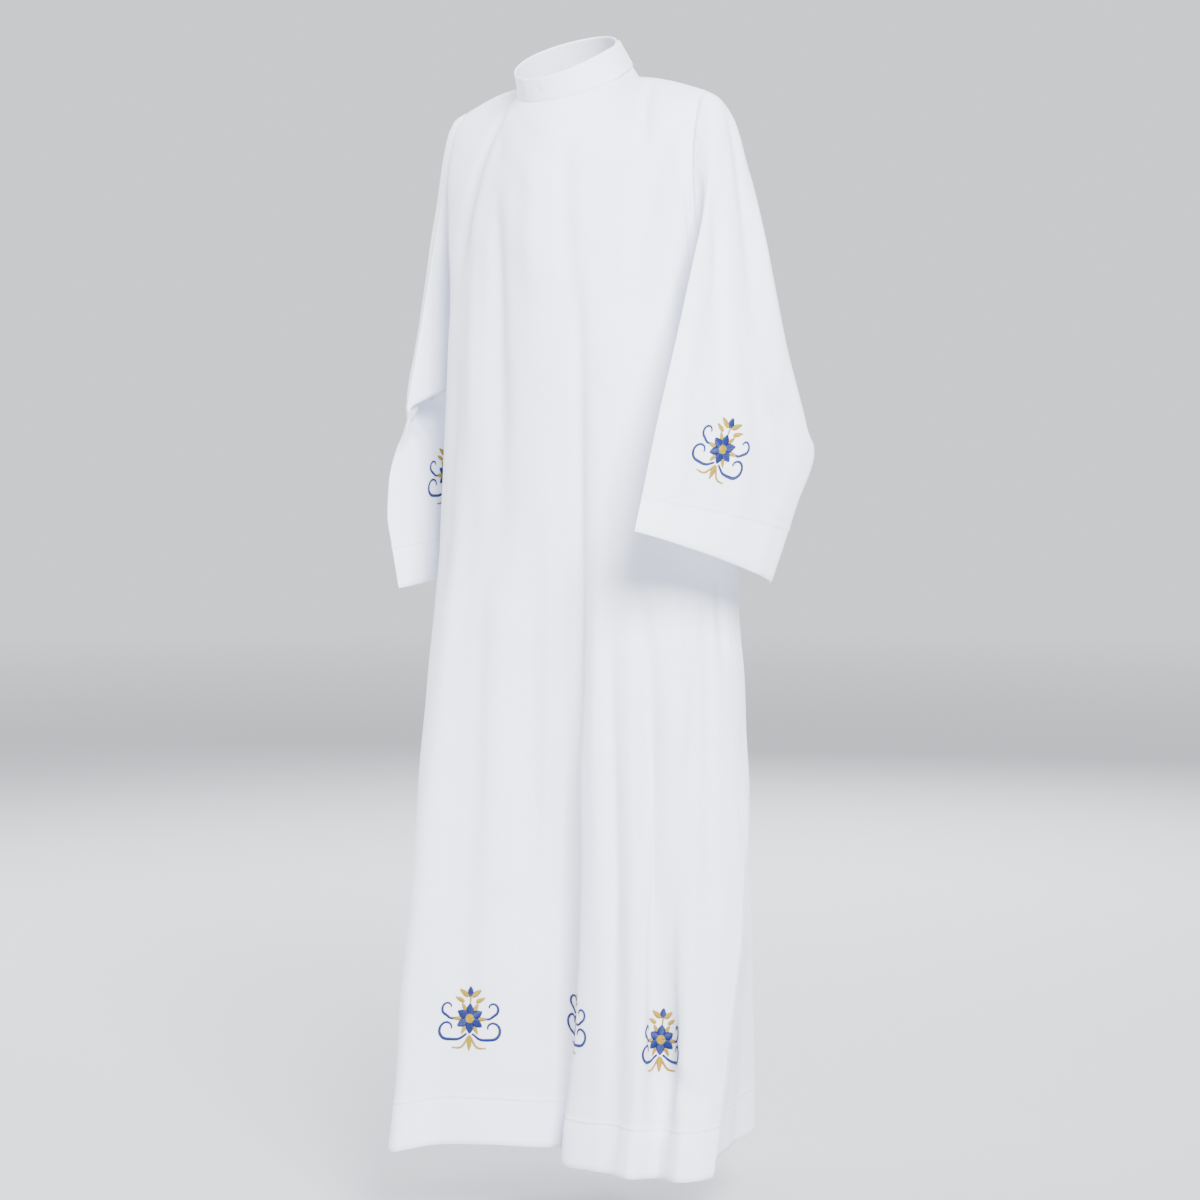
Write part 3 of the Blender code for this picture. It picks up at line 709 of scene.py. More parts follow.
def add_creases(cloth, creases):
    """Press the creases into the cloth as soft troughs, and raise the ridges."""
    points = cloth.points.reshape(-1, 3)
    change = np.zeros(len(points))
    for crease in creases:
        row = np.array(crease + USUAL_CREASE[len(crease):]) / CREASE_PARTS
        steps, path = crease_path(cloth, row[:2], row[2:4])
        width, depth, peak, kept_first, kept_last, low = row[4:]
        distance = np.full(len(points), np.inf)
        along = np.zeros(len(points))
        for i in range(len(path) - 1):
            leg = path[i + 1] - path[i]
            t = np.clip((points - path[i]) @ leg / (leg @ leg), 0, 1)
            near = np.linalg.norm(points - path[i] - t[:, None] * leg, axis=1)
            closer = near < distance
            distance[closer] = near[closer]
            along[closer] = (steps[i] + t * (steps[i + 1] - steps[i]))[closer]
        rise = np.minimum(along / peak, (1 - along) / (1 - peak))
        kept = np.where(along < peak, kept_first, kept_last)
        fade = kept + (1 - kept) * np.sin(np.pi / 2 * rise) ** CREASE_FULL
        width = width * (CREASE_NARROW + CREASE_WIDER * along)
        if low:
            line = np.interp(along, steps, path[:, 2])
            width = np.where(points[:, 2] < line, low, width)
        change -= depth * fade * np.exp(-(distance / width) ** 2)
    cloth.move(change.reshape(cloth.points.shape[:2]) * seam_calm(cloth))


def seam_calm(cloth):
    """0 along the seams, so that the pieces stay together there, little along the pressed front
    line of a sleeve, and 1 away from them."""
    calm = np.clip(cloth.down / CALM_TOP, 0, 1)
    if cloth.double_from < 0:
        return np.ones(calm.shape)
    if cloth.closed:
        pressed = cloth.across[len(cloth.points) // 4]
        return calm * np.clip(np.abs(cloth.across - pressed) / CALM_PRESS, LEAST_CALM, 1)
    edge = np.minimum(cloth.across, cloth.across[-1:] - cloth.across)
    sewn = cloth.points[..., 2] > SLIT_Z - SLIT_SEWN
    return calm * np.where(sewn, np.clip(edge / CALM_SIDE, 0, 1), 1.0)


def add_unevenness(cloth, seed, amount):
    """Small soft waves, long down the cloth and short across it."""
    chance = np.random.default_rng(seed)
    width = cloth.across[-1].max()
    across, down = cloth.across, cloth.down
    change = np.zeros(across.shape)
    for _ in range(WAVES):
        draw = chance.integers if cloth.closed else chance.uniform
        waves = draw(*WAVE_NUMBERS)
        place = across / np.maximum(across[-1:], 1e-6) if cloth.closed else across / width
        length = chance.uniform(*WAVE_LENGTHS)
        phase, tilt = chance.uniform(0, 2 * np.pi), chance.uniform(0, 2 * np.pi)
        wave = np.sin(2 * np.pi * waves * place + phase) * np.sin(2 * np.pi * down / length + tilt)
        change += wave / math.sqrt(WAVES)
    cloth.move(change * seam_calm(cloth) * amount)


def add_puckers(cloth, seed, row, waves, depth, reach):
    """Small puckers that run out from the sewn line along a row."""
    chance = np.random.default_rng(seed)
    count = len(cloth.points)
    place = np.arange(count) / count
    ripple = sum(np.sin(2 * np.pi * number * place + chance.uniform(0, 2 * np.pi))
                 for number in waves) / len(waves)
    fade = np.exp(-np.abs(cloth.down - cloth.down[:, row:row + 1]) / reach)
    if row == 0:
        fade = fade * np.clip(cloth.down / PUCKER_START, 0, 1)
    cloth.move(depth * ripple[:, None] * fade)


@functools.cache
def surface(name):
    """The fine cloth of one piece, made once."""
    if name == "collar":
        cloth = fine_cloth(collar_form(), False, -1, COLLAR_PARTS, [COLLAR_PARTS] * COLLAR_ROWS,
                           None)
        add_creases(cloth, COLLAR_CREASES)
        return cloth
    creases, seed, amount, puckers = UNEVEN[name]
    if name in ("front", "back"):
        facing = -1 if name == "front" else 1
        cloth = fine_cloth(panel_form(facing), False, facing, PANEL_COLUMN_PARTS, PANEL_PARTS,
                           YOKE_ROWS + SKIRT_ROWS)
    else:
        side = 1 if name == "left_sleeve" else -1
        form = sleeve_form(LEFT_SLEEVE if side > 0 else RIGHT_SLEEVE, side)
        drops = np.linalg.norm(np.diff(form, axis=1), axis=2).mean(axis=0)
        parts = [max(2, int(round(drop / SLEEVE_FINE_ROW))) for drop in drops]
        cloth = fine_cloth(form, True, side, SLEEVE_COLUMN_PARTS, parts, form.shape[1] - 2)
    add_creases(cloth, creases)
    add_unevenness(cloth, seed, amount)
    for pucker_seed, line, ripples, depth, reach in puckers:
        row = cloth.double_from + 2 if line == "hem" else 0
        add_puckers(cloth, pucker_seed, row, ripples, depth, reach)
    return cloth


def even_normals(cloth):
    """Normals evened out with their neighbours, for the inner side of the cloth."""
    normals = cloth.normals
    mode = "wrap" if cloth.closed else "edge"
    for _ in range(EVEN_PASSES):
        rows = np.pad(normals, ((0, 0), (1, 1), (0, 0)), mode="edge")
        normals = (rows[:, :-2] + 2 * normals + rows[:, 2:]) / 4
        columns = np.pad(normals, ((1, 1), (0, 0), (0, 0)), mode=mode)
        normals = (columns[:-2] + 2 * normals + columns[2:]) / 4
    return unit(normals)


def side_faces(outer, rim, inner, top, bottom):
    """Faces round one open side edge, over its rim, with the corners at its top and bottom."""
    strips = [np.column_stack((first[:-1], first[1:], second[1:], second[:-1]))
              for first, second in ((outer, rim), (rim, inner))]
    corners = ((outer[0], rim[0], inner[0], top), (outer[-1], bottom, inner[-1], rim[-1]))
    return np.concatenate((*strips, corners))


def shell(name, cloth, wall, double_wall, material):
    """A closed thin shell: the cloth's outer side, its inner side and rounded edges between."""
    thickness = np.full(cloth.points.shape[1], wall)
    if cloth.double_from > 0:
        down = cloth.down.mean(axis=0)
        step = np.clip((down - down[cloth.double_from]) / HEM_STEP, 0, 1)
        thickness = wall + (double_wall - wall) * step
    outside = cloth.points.reshape(-1, 3)
    inside = (cloth.points - even_normals(cloth) * thickness[None, :, None]).reshape(-1, 3)
    verts = [outside, inside]

    def edge(rim, beside):
        """Round one edge between the rims of both sides; the numbers of its points."""
        start = sum(len(part) for part in verts)
        wide = np.linalg.norm(outside[rim] - inside[rim], axis=1, keepdims=True)
        outward = unit(outside[rim] - outside[beside])
        verts.append((outside[rim] + inside[rim]) / 2 + outward * wide * EDGE_BULGE)
        return np.arange(start, start + len(rim))

    outer = np.arange(len(outside)).reshape(cloth.points.shape[:2])
    inner = outer + len(outside)
    top, bottom = edge(outer[:, 0], outer[:, 1]), edge(outer[:, -1], outer[:, -2])
    loops = np.column_stack((outer, bottom, inner[:, ::-1], top))
    beside = np.roll(loops, -1, axis=0)
    faces = np.stack((loops, beside, np.roll(beside, -1, axis=1), np.roll(loops, -1, axis=1)),
                     axis=2)
    if cloth.closed:
        faces = faces.reshape(-1, 4)
    else:
        right, left = (side_faces(outer[i], edge(outer[i], outer[near]), inner[i], top[i],
                                  bottom[i]) for i, near in ((0, 1), (-1, -2)))
        faces = np.concatenate((faces[:-1].reshape(-1, 4), right, left[:, ::-1]))
    if cloth.outward < 0:
        faces = faces[:, ::-1]
    verts = np.concatenate(verts)
    mesh = new_mesh(name, verts, faces.tolist())
    mesh.materials.append(material)
    paint_cloth(mesh, cloth, len(verts))
    return linked(name, mesh)


def new_mesh(name, verts, faces):
    """A smooth-shaded mesh."""
    mesh = bpy.data.meshes.new(name)
    mesh.from_pydata([tuple(v) for v in verts], [], faces)
    mesh.update()
    mesh.shade_smooth()
    return mesh


def paint_cloth(mesh, cloth, total):
    """Lengths of cloth as its texture map, and a mask of where it is double."""
    count, depth = cloth.points.shape[:2]
    u = cloth.across if cloth.closed else cloth.across - cloth.across[count // 2][None, :]
    lengths, double = np.zeros((total, 2)), np.zeros(total)
    both = 2 * count * depth
    lengths[:both] = np.tile(np.stack((u, cloth.down), axis=2).reshape(-1, 2), (2, 1))
    if cloth.double_from > 0:
        double[:both] = np.tile(np.arange(depth) > cloth.double_from, 2 * count)
    uv = mesh.uv_layers.new(name="lengths")
    corner = np.zeros(len(mesh.loops), dtype=np.int32)
    mesh.loops.foreach_get("vertex_index", corner)
    uv.data.foreach_set("uv", lengths[corner].astype(np.float32).ravel())
    mask = mesh.attributes.new("double", "FLOAT", "POINT")
    mask.data.foreach_set("value", double.astype(np.float32))


class Value:
    """A number that a material's nodes give, on which sums are written as expressions."""

    def __init__(self, finish, socket):
        self.finish = finish
        self.socket = socket

    def maths(self, operation, *numbers):
        """A Math node on this value and others."""
        inputs = dict(enumerate(numbers))
        node = self.finish.node("ShaderNodeMath", {"operation": operation}, inputs)
        return Value(self.finish, node.outputs[0])

    def __add__(self, other):
        return self.maths("ADD", self, other)

    __radd__ = __add__

    def __mul__(self, other):
        return self.maths("MULTIPLY", self, other)

    __rmul__ = __mul__

    def __sub__(self, other):
        return self.maths("SUBTRACT", self, other)

    def __rsub__(self, other):
        return self.maths("SUBTRACT", other, self)

    def sine(self):
        return self.maths("SINE", self)

    def limited(self):
        """This value kept from 0 to 1."""
        return self.maths("MINIMUM", self.maths("MAXIMUM", self, 0.0), 1.0)


class Finish:
    """A material and the one way in which its nodes are made."""

    def __init__(self, name):
        self.material = bpy.data.materials.new(name)
        self.material.use_nodes = True
        self.tree = self.material.node_tree
        self.tree.nodes.clear()

    def node(self, kind, settings=None, inputs=None):
        """A node of one kind, with its settings and the values or links of its sockets."""
        node = self.tree.nodes.new(kind)
        for setting, value in (settings or {}).items():
            setattr(node, setting, value)
        for socket, value in (inputs or {}).items():
            if isinstance(value, Value):
                self.tree.links.new(value.socket, node.inputs[socket])
            elif isinstance(value, bpy.types.NodeSocket):
                self.tree.links.new(value, node.inputs[socket])
            else:
                node.inputs[socket].default_value = value
        return node

    def value(self, kind, output, settings=None, inputs=None):
        """One output of a new node, for expressions."""
        return Value(self, self.node(kind, settings, inputs).outputs[output])

    def mixed(self, factor, first, second):
        """A colour between two colours."""
        node = self.node("ShaderNodeMix", {"data_type": "RGBA"},
                         {0: factor, 6: first, 7: second})
        return node.outputs[2]

    def shaded(self, inputs):
        """The Principled shader as the material's surface."""
        shader = self.node("ShaderNodeBsdfPrincipled", None, inputs)
        output = self.node("ShaderNodeOutputMaterial")
        self.tree.links.new(shader.outputs[0], output.inputs[0])
        return self.material


def opaque(colour, factor=1.0):
    """A colour with full alpha, made lighter or darker by a factor."""
    return (*(min(1.0, channel * factor) for channel in colour), 1.0)


def cloth_material(name, settings):
    """Matte plain weave, a little whiter where the cloth is double."""
    finish = Finish(name)
    lengths = finish.value("ShaderNodeUVMap", 0, {"uv_map": "lengths"})
    axes = finish.node("ShaderNodeSeparateXYZ", None, {0: lengths})
    u, v = Value(finish, axes.outputs[0]), Value(finish, axes.outputs[1])
    turns = 2 * math.pi / settings.weave_pitch
    weave = (u * turns).sine() * (v * turns).sine()
    slubs = []
    for scale in ((520, 70, 1), (70, 520, 1)):
        place = finish.node("ShaderNodeMapping", None, {"Vector": lengths, "Scale": scale})
        slubs.append(finish.value("ShaderNodeTexNoise", 0, None,
                                  {"Vector": place.outputs[0], "Scale": 1.0, "Detail": 3.0}))
    slub = (slubs[0] + slubs[1]) * 0.5
    broad = finish.value("ShaderNodeTexNoise", 0, None,
                         {"Vector": lengths, "Scale": 14.0, "Detail": 2.0})
    height = weave * 0.4 + slub
    bump = finish.node("ShaderNodeBump", None, {"Strength": 0.5, "Distance": 0.00020,
                                                "Height": height})
    double = finish.value("ShaderNodeAttribute", 2, {"attribute_name": "double"})
    yarn = ((slub - 0.5) * 1.6 + 0.5 + (broad - 0.5) * 0.5).limited()
    single = finish.mixed(yarn, opaque(settings.colour, 0.93), opaque(settings.colour, 1.06))
    twice = finish.mixed(yarn, opaque(settings.double_colour, 0.95),
                         opaque(settings.double_colour, 1.04))
    colour = finish.mixed(double, single, twice)
    roughness = broad * 0.08 + (settings.roughness - 0.04)
    return finish.shaded({
        "Base Color": colour, "Roughness": roughness, "Normal": bump.outputs[0],
        "Sheen Weight": 0.15, "Sheen Roughness": 0.5, "Specular IOR Level": 0.3})


def thread_material(name, colour, roughness, sheen):
    """Twisted thread, slightly uneven in colour along its length."""
    finish = Finish(name)
    place = finish.node("ShaderNodeTexCoord")
    twist = finish.value("ShaderNodeTexNoise", 0, None,
                         {"Vector": place.outputs["Object"], "Scale": 700.0, "Detail": 2.0})
    base = finish.mixed(twist, opaque(colour, 0.72), opaque(colour, 1.25))
    bump = finish.node("ShaderNodeBump", None, {"Strength": 0.4, "Distance": 0.0001,
                                                "Height": twist})
    return finish.shaded({
        "Base Color": base, "Roughness": twist * 0.1 + roughness, "Normal": bump.outputs[0],
        "Sheen Weight": sheen, "Sheen Roughness": 0.4})


def tubes(name, runs, sides, material):
    """Closed threads: each run has points, normals, a radius at each point and a flatness."""
    verts, faces, start = [], [], 0
    for points, normals, radii, flatness in runs:
        along = unit(np.gradient(points, axis=0))
        aside = unit(np.cross(along, normals))
        over = np.cross(aside, along)
        turns = np.arange(sides) * 2 * np.pi / sides
        ring = (np.cos(turns)[None, :, None] * aside[:, None] * radii[:, None, None]
                + np.sin(turns)[None, :, None] * over[:, None] * radii[:, None, None] * flatness)
        verts.append((points[:, None] + ring).reshape(-1, 3))
        for i in range(len(points) - 1):
            for k in range(sides):
                n = (k + 1) % sides
                a, b = start + i * sides, start + (i + 1) * sides
                faces.append((a + k, b + k, b + n, a + n))
        last = start + (len(points) - 1) * sides
        faces.append(tuple(range(start, start + sides)))
        faces.append(tuple(range(last + sides - 1, last - 1, -1)))
        start += len(points) * sides
    mesh = new_mesh(name, np.concatenate(verts), faces)
    mesh.materials.append(material)
    return linked(name, mesh)


# A stitch at five places: share of its length, height and radius as shares of half its thread
STITCH_SHAPE = ((-0.5, -0.6, 0.4), (-0.36, 0.4, 0.9), (0.0, 0.7, 1.0), (0.36, 0.4, 0.9),
                (0.5, -0.6, 0.4))
STITCH_FLATNESS = 0.8
THREAD_SIDES = 5
SLIT_STITCHES_START = 0.010
COLLAR_LINES = (0.88, 0.09)


def stitch_run(cloth, columns, rows, settings):
    """Single stitches along a line on the cloth, each dipping into it at both ends."""
    points, normals = cloth.at(columns, rows)
    lengths = run_lengths(points)
    radius = settings.thread / 2
    along, lift, thin = np.array(STITCH_SHAPE).T
    runs = []
    for i in range(int(lengths[-1] / settings.pitch)):
        at = (i + 0.5) * settings.pitch + along * settings.length
        upward = unit(points_at(at, lengths, normals))
        place = points_at(at, lengths, points) + upward * (lift * radius)[:, None]
        runs.append((place, upward, thin * radius, STITCH_FLATNESS))
    return runs


def sewn_lines(node, settings):
    """Columns and rows of each line of stitches on one piece: the hem, slits or collar."""
    cloth = surface(node)
    count, depth = cloth.points.shape[:2]
    if node == "collar":
        columns = np.arange(2.0, count - 2.0)
        return [(columns, np.full(len(columns), (depth - 1) * share)) for share in COLLAR_LINES]
    columns = np.arange(count + 1 if cloth.closed else count, dtype=float)
    lines = [(columns, np.full(len(columns), cloth.row_of_stitches()))]
    for edge_column in () if cloth.closed else (count - 1, 0):
        start = cloth.row_at_height(edge_column, SLIT_Z + SLIT_STITCHES_START)
        rows = np.arange(start, depth - 1)
        columns = []
        for row in rows:
            lengths = cloth.across[:, int(row)]
            place = lengths[-1] - settings.edge if edge_column else settings.edge
            columns.append(np.interp(place, lengths, np.arange(count)))
        lines.append((np.array(columns), rows))
    return lines


def flower_place(cloth, column, row, points, turn):
    """Columns and rows of a flower's points, given in metres across and up from its middle."""
    cosine, sine = math.cos(math.radians(turn)), math.sin(math.radians(turn))
    points = points @ np.array(((cosine, sine), (-sine, cosine)))
    down = cloth.down[int(round(column)) % len(cloth.points)]
    middle = np.interp(row, np.arange(len(down)), down)
    rows = np.interp(middle - points[:, 1], down, np.arange(len(down)))
    line = int(round(row))
    lengths = cloth.across[:, line]
    count = len(lengths)
    numbers = np.arange(count, dtype=float)
    if cloth.closed:
        around = lengths[-1] + np.linalg.norm(cloth.points[-1, line] - cloth.points[0, line])
        lengths = np.concatenate((lengths - around, lengths, lengths + around))
        numbers = np.concatenate((numbers - count, numbers, numbers + count))
    start = np.interp(column, numbers, lengths)
    side = 1 if cloth.outward < 0 else -1
    return np.interp(start + side * points[:, 0], lengths, numbers), rows


# Satin stitches: from one to the next as a share of the thread, how they slant on a leaf and on
# a stem, their height at the ends and how far the middle stands above that
SILK_SIDES = 4
SILK_FLATNESS = 0.7
SILK_ENDS = 0.6
SILK_LIFT = 0.0001
SATIN_ACROSS = np.linspace(-1, 1, 5)
LEAF_STEP = 0.82
LEAF_SLANT = 0.35
LEAF_CROWN = 0.0006
STEM_STEP = 0.85
STEM_SLANT = 0.4
STEM_CROWN = 0.0005
SATIN_LOW = 0.0003
EYE_HEIGHT = 0.0011
EYE_POINTS = 14
STEM_POINTS = 60
PETALS = 6


def leaf(base, tip, half_width, thread):
    """Satin stitches across a petal or leaf: each a row of points across and up, and a height."""
    base, tip = np.array(base), np.array(tip)
    length = np.linalg.norm(tip - base)
    axis = (tip - base) / length
    aside = np.array((-axis[1], axis[0]))
    stitches = []
    for t in np.arange(thread * 0.8, length - thread * 0.5, thread * LEAF_STEP):
        width = half_width * math.sin(math.pi * (t / length) ** 0.85) ** 0.7
        if width < thread * 0.4:
            continue
        points = (base + axis * t)[None, :] + SATIN_ACROSS[:, None] * aside * width
        points = points + (np.abs(SATIN_ACROSS) * -(LEAF_SLANT * width))[:, None] * axis
        stitches.append((points, SATIN_LOW + LEAF_CROWN * np.sqrt(1 - SATIN_ACROSS**2)))
    return stitches


def satin_cord(points, half_width, thread):
    """Satin stitches across a curved stem that thins out towards its end."""
    points = np.array(points, dtype=float)
    fine = resample(points, np.linspace(0, 1, len(points)),
                    np.linspace(0, 1, STEM_POINTS))
    lengths = run_lengths(fine)
    stitches = []
    for at in np.arange(thread * 0.5, lengths[-1], thread * STEM_STEP):
        here, ahead = points_at((at - thread * 0.4, at + thread * 0.4), lengths, fine)
        along = unit(ahead - here)
        aside = np.array((-along[1], along[0]))
        width = half_width * (0.45 + 0.55 * math.sin(math.pi * (0.15 + 0.8 * at / lengths[-1])))
        line = here + SATIN_ACROSS[:, None] * (aside + along * STEM_SLANT) * width
        stitches.append((line, SATIN_LOW + STEM_CROWN * np.sqrt(1 - SATIN_ACROSS**2)))
    return stitches


def scroll(start, out, curl, turns, size):
    """Points of a stem that leaves a point and ends in a curl, all across and up."""
    start, out, curl = np.array(start), np.array(out), np.array(curl)
    points = [start, (start + out) / 2 + (out - curl) * 0.25, out]
    angle = math.atan2(*(out - curl)[::-1])
    reach = np.linalg.norm(out - curl)
    for k in range(1, 9):
        t = k / 8
        turn = angle + turns * 2 * math.pi * t
        points.append(curl + reach * (1 - size * t) * np.array((math.cos(turn), math.sin(turn))))
    return np.array(points)


def flower(settings):
    """The flower's stitches by colour, within its width and height."""
    w, h, thread = settings.width / 2, settings.height / 2, settings.thread
    blue, gold = [], []
    for k in range(PETALS):
        out, between = (np.array((math.cos(angle), math.sin(angle)))
                        for angle in np.radians((90 + 60 * k, 120 + 60 * k)))
        blue += leaf(out * 0.13 * w, out * 0.50 * w, 0.150 * w, thread)
        gold += leaf(between * 0.30 * w, between * 0.58 * w, 0.065 * w, thread)
    for radius in np.arange(thread * 0.6, 0.14 * w, thread * 0.9):
        turn = np.linspace(0, 2 * np.pi, EYE_POINTS)
        ring = np.stack((np.cos(turn), np.sin(turn)), axis=1) * radius
        gold.append((ring, np.full(EYE_POINTS, EYE_HEIGHT)))
    for side in (1, -1):
        mirror = np.array((side * w, h))
        for *way, half_width in (
                ((0.10, -0.46), (0.66, -0.62), (0.74, -0.30), 0.80, 0.62, 0.050),
                ((0.46, 0.02), (0.80, 0.12), (0.74, 0.34), 0.72, 0.60, 0.044)):
            blue += satin_cord(scroll(*way) * mirror, half_width * w, thread)
        gold += satin_cord(np.array(((0.02, -0.52), (0.26, -0.86), (0.58, -0.88))) * mirror,
                           0.036 * w, thread)
        for base, tip, half_width in (((0.06, 0.66), (0.40, 0.90), 0.085),
                                      ((0.20, 0.50), (0.52, 0.66), 0.070)):
            gold += leaf(base * mirror, tip * mirror, half_width * w, thread)
    gold += satin_cord(((0, 0.50 * w), (0.01 * w, 0.60 * h), (0, 0.72 * h)), 0.030 * w, thread)
    blue += leaf((0, 0.66 * h), (0, 1.00 * h), 0.115 * w, thread)
    gold += leaf((0, -0.56 * w), (0, -0.98 * h), 0.085 * w, thread)
    return {"blue": blue, "gold": gold}


def flower_runs(cloth, column, row, turn, stitches, thread):
    """Threads of one colour of one flower, laid on the cloth."""
    runs = []
    for points, height in stitches:
        columns, rows = flower_place(cloth, column, row, points, turn)
        place, normals = cloth.at(columns, rows, (height + SILK_LIFT)[:, None])
        radii = np.full(len(place), thread / 2)
        radii[[0, -1]] *= SILK_ENDS
        runs.append((place, normals, radii, SILK_FLATNESS))
    return runs


COLOUR = dict(subtype="COLOR", size=3, min=0, max=1)


class AlbCloth(bpy.types.PropertyGroup):
    """Sizes and colours of the cloth."""

    wall: bpy.props.FloatProperty(
        name="Cloth", description="Thickness of the cloth", default=0.0010, unit="LENGTH")
    hem_wall: bpy.props.FloatProperty(
        name="Hem", description="Thickness where it is double", default=0.0020, unit="LENGTH")
    weave_pitch: bpy.props.FloatProperty(
        name="Weave", description="From thread to thread", default=0.0009, unit="LENGTH")
    roughness: bpy.props.FloatProperty(
        name="Roughness", description="How matte the cloth is", default=0.85, min=0, max=1)
    colour: bpy.props.FloatVectorProperty(
        name="Colour", description="Colour of the cloth",
        default=(0.76, 0.785, 0.885), **COLOUR)
    double_colour: bpy.props.FloatVectorProperty(
        name="Double cloth", description="Colour where the cloth is double",
        default=(0.80, 0.825, 0.92), **COLOUR)


class AlbStitches(bpy.types.PropertyGroup):
    """Sizes of the machine stitches."""

    pitch: bpy.props.FloatProperty(
        name="Pitch", description="From stitch to stitch", default=0.0034, unit="LENGTH")
    length: bpy.props.FloatProperty(
        name="Length", description="Length of a stitch", default=0.0028, unit="LENGTH")
    thread: bpy.props.FloatProperty(
        name="Thread", description="Thickness of the thread", default=0.0006, unit="LENGTH")
    edge: bpy.props.FloatProperty(
        name="Edge", description="From an open edge to its stitches", default=0.008,
        unit="LENGTH")
    # White thread, set a little lighter than the cloth: partly its own colour, partly painted
    # highlight along the stitched lines
    colour: bpy.props.FloatVectorProperty(
        name="Colour", description="Colour of the thread",
        default=(0.90, 0.92, 0.96), **COLOUR)


class AlbEmbroidery(bpy.types.PropertyGroup):
    """Sizes and colours of the embroidered flowers."""

    width: bpy.props.FloatProperty(
        name="Width", description="Width of a flower", default=0.083, unit="LENGTH")
    height: bpy.props.FloatProperty(
        name="Height", description="Height of a flower", default=0.088, unit="LENGTH")
    thread: bpy.props.FloatProperty(
        name="Thread", description="Thickness of the silk", default=0.0011, unit="LENGTH")
    blue: bpy.props.FloatVectorProperty(
        name="Blue", description="Colour of the petals",
        default=(0.002, 0.012, 0.120), **COLOUR)
    gold: bpy.props.FloatVectorProperty(
        name="Gold", description="Colour of the leaves",
        default=(0.31, 0.205, 0.0002), **COLOUR)


class AlbStage(bpy.types.PropertyGroup):
    """The floor and the camera."""

    floor_colour: bpy.props.FloatVectorProperty(
        name="Floor", description="Colour of the floor",
        default=(0.36, 0.37, 0.39), **COLOUR)
    drop: bpy.props.FloatProperty(
        name="Drop", description="From the hem down to the floor", default=0.110,
        unit="LENGTH")
    lens: bpy.props.FloatProperty(
        name="Lens", description="Focal length in millimetres", default=80.7, min=1)


def dressed(piece, node):
    """Put a piece on the frame's body in place of its solid."""
    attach(piece, "root")
    if node:
        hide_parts(node)
    return piece


def white_cloth(settings):
    """The cloth of every piece, made the first time."""
    return bpy.data.materials.get("white_cloth") or cloth_material("white_cloth", settings)


def show_cloth(context, *nodes):
    """Make the visible cloth of some sewn pieces."""
    settings = context.scene.alb_cloth
    for node in nodes:
        wall = COLLAR_WALL * COLLAR_SHOWN if node == "collar" else settings.wall
        piece = shell(node + "_cloth", surface(node), wall, settings.hem_wall,
                      white_cloth(settings))
        dressed(piece, node)
    return {"FINISHED"}


class ALB_OT_front(bpy.types.Operator):
    """Make the front panel."""

    bl_idname = "alb.front"
    bl_label = "Front"

    def execute(self, context):
        return show_cloth(context, "front")


class ALB_OT_back(bpy.types.Operator):
    """Make the back panel."""

    bl_idname = "alb.back"
    bl_label = "Back"

    def execute(self, context):
        return show_cloth(context, "back")


class ALB_OT_sleeves(bpy.types.Operator):
    """Make both sleeves."""

    bl_idname = "alb.sleeves"
    bl_label = "Sleeves"

    def execute(self, context):
        return show_cloth(context, "left_sleeve", "right_sleeve")


class ALB_OT_collar(bpy.types.Operator):
    """Make the stand collar."""

    bl_idname = "alb.collar"
    bl_label = "Collar"

    def execute(self, context):
        return show_cloth(context, "collar")


class ALB_OT_stitching(bpy.types.Operator):
    """Sew the hems, slits and collar."""

    bl_idname = "alb.stitching"
    bl_label = "Stitching"

    def execute(self, context):
        settings = context.scene.alb_stitches
        # The thread's light colour is partly painted highlight, so that the stitched lines read
        # bright
        material = thread_material("sewing_thread", settings.colour, 0.6, 0.1)
        for node in ("front", "back", "left_sleeve", "right_sleeve", "collar"):
            runs = []
            for columns, rows in sewn_lines(node, settings):
                runs += stitch_run(surface(node), columns, rows, settings)
            dressed(tubes(node + "_stitching", runs, THREAD_SIDES, material), None)
        return {"FINISHED"}


class ALB_OT_embroidery(bpy.types.Operator):
    """Embroider the flowers on the front hem and the sleeves."""

    bl_idname = "alb.embroidery"
    bl_label = "Embroidery"

    def execute(self, context):
        settings = context.scene.alb_embroidery
        threads = {
            "blue": thread_material("blue_silk", settings.blue, 0.45, 0.0),
            "gold": thread_material("gold_silk", settings.gold, 0.42, 0.0),
        }
        stitches = flower(settings)
        for node, places in FLOWERS.items():
            cloth = surface(node)
            for colour, material in threads.items():
                runs = []
                for place, z, turn in places:
                    column = column_of(cloth, place)
                    row = cloth.row_at_height(column, z)
                    runs += flower_runs(cloth, column, row, turn, stitches[colour],
                                        settings.thread)
                dressed(tubes(f"{node}_{colour}_embroidery", runs, SILK_SIDES, material),
                        None)
        return {"FINISHED"}


class ALB_OT_sheets(bpy.types.Operator):
    """An operator that does nothing."""

    bl_idname = "alb.sheets"
    bl_label = "Cut"

    def execute(self, context):
        return {"FINISHED"}


# The lights: place, size, power and colour
LIGHT_AIM = (0.0, 0.0, -0.7)
LIGHTS = {
    "right_light": ((3.45, -2.7, 1.7), 1.8, 1080, (0.98, 0.985, 1.0)),
    "left_light": ((-3.3, -2.6, 0.8), 1.8, 170, (0.95, 0.97, 1.0)),
    "far_light": ((-3.9, 1.1, 1.2), 1.8, 260, (0.94, 0.96, 1.0)),
    "back_light": ((-1.9, 4.1, 1.4), 2.0, 560, (0.95, 0.97, 1.0)),
}
WORLD_COLOUR = (0.93, 0.95, 1.0, 1.0)
WORLD_STRENGTH = 1.2
CAMERA_PLACE = (2.167, -2.875, -0.493)
CAMERA_AIM = (0.0388, 0.0218, -0.6908)
SENSOR_WIDTH = 36.0
FLOOR_RADIUS = 14.0
FLOOR_SIDES = 96
FLOOR_FADE = (3.0, 12.0)


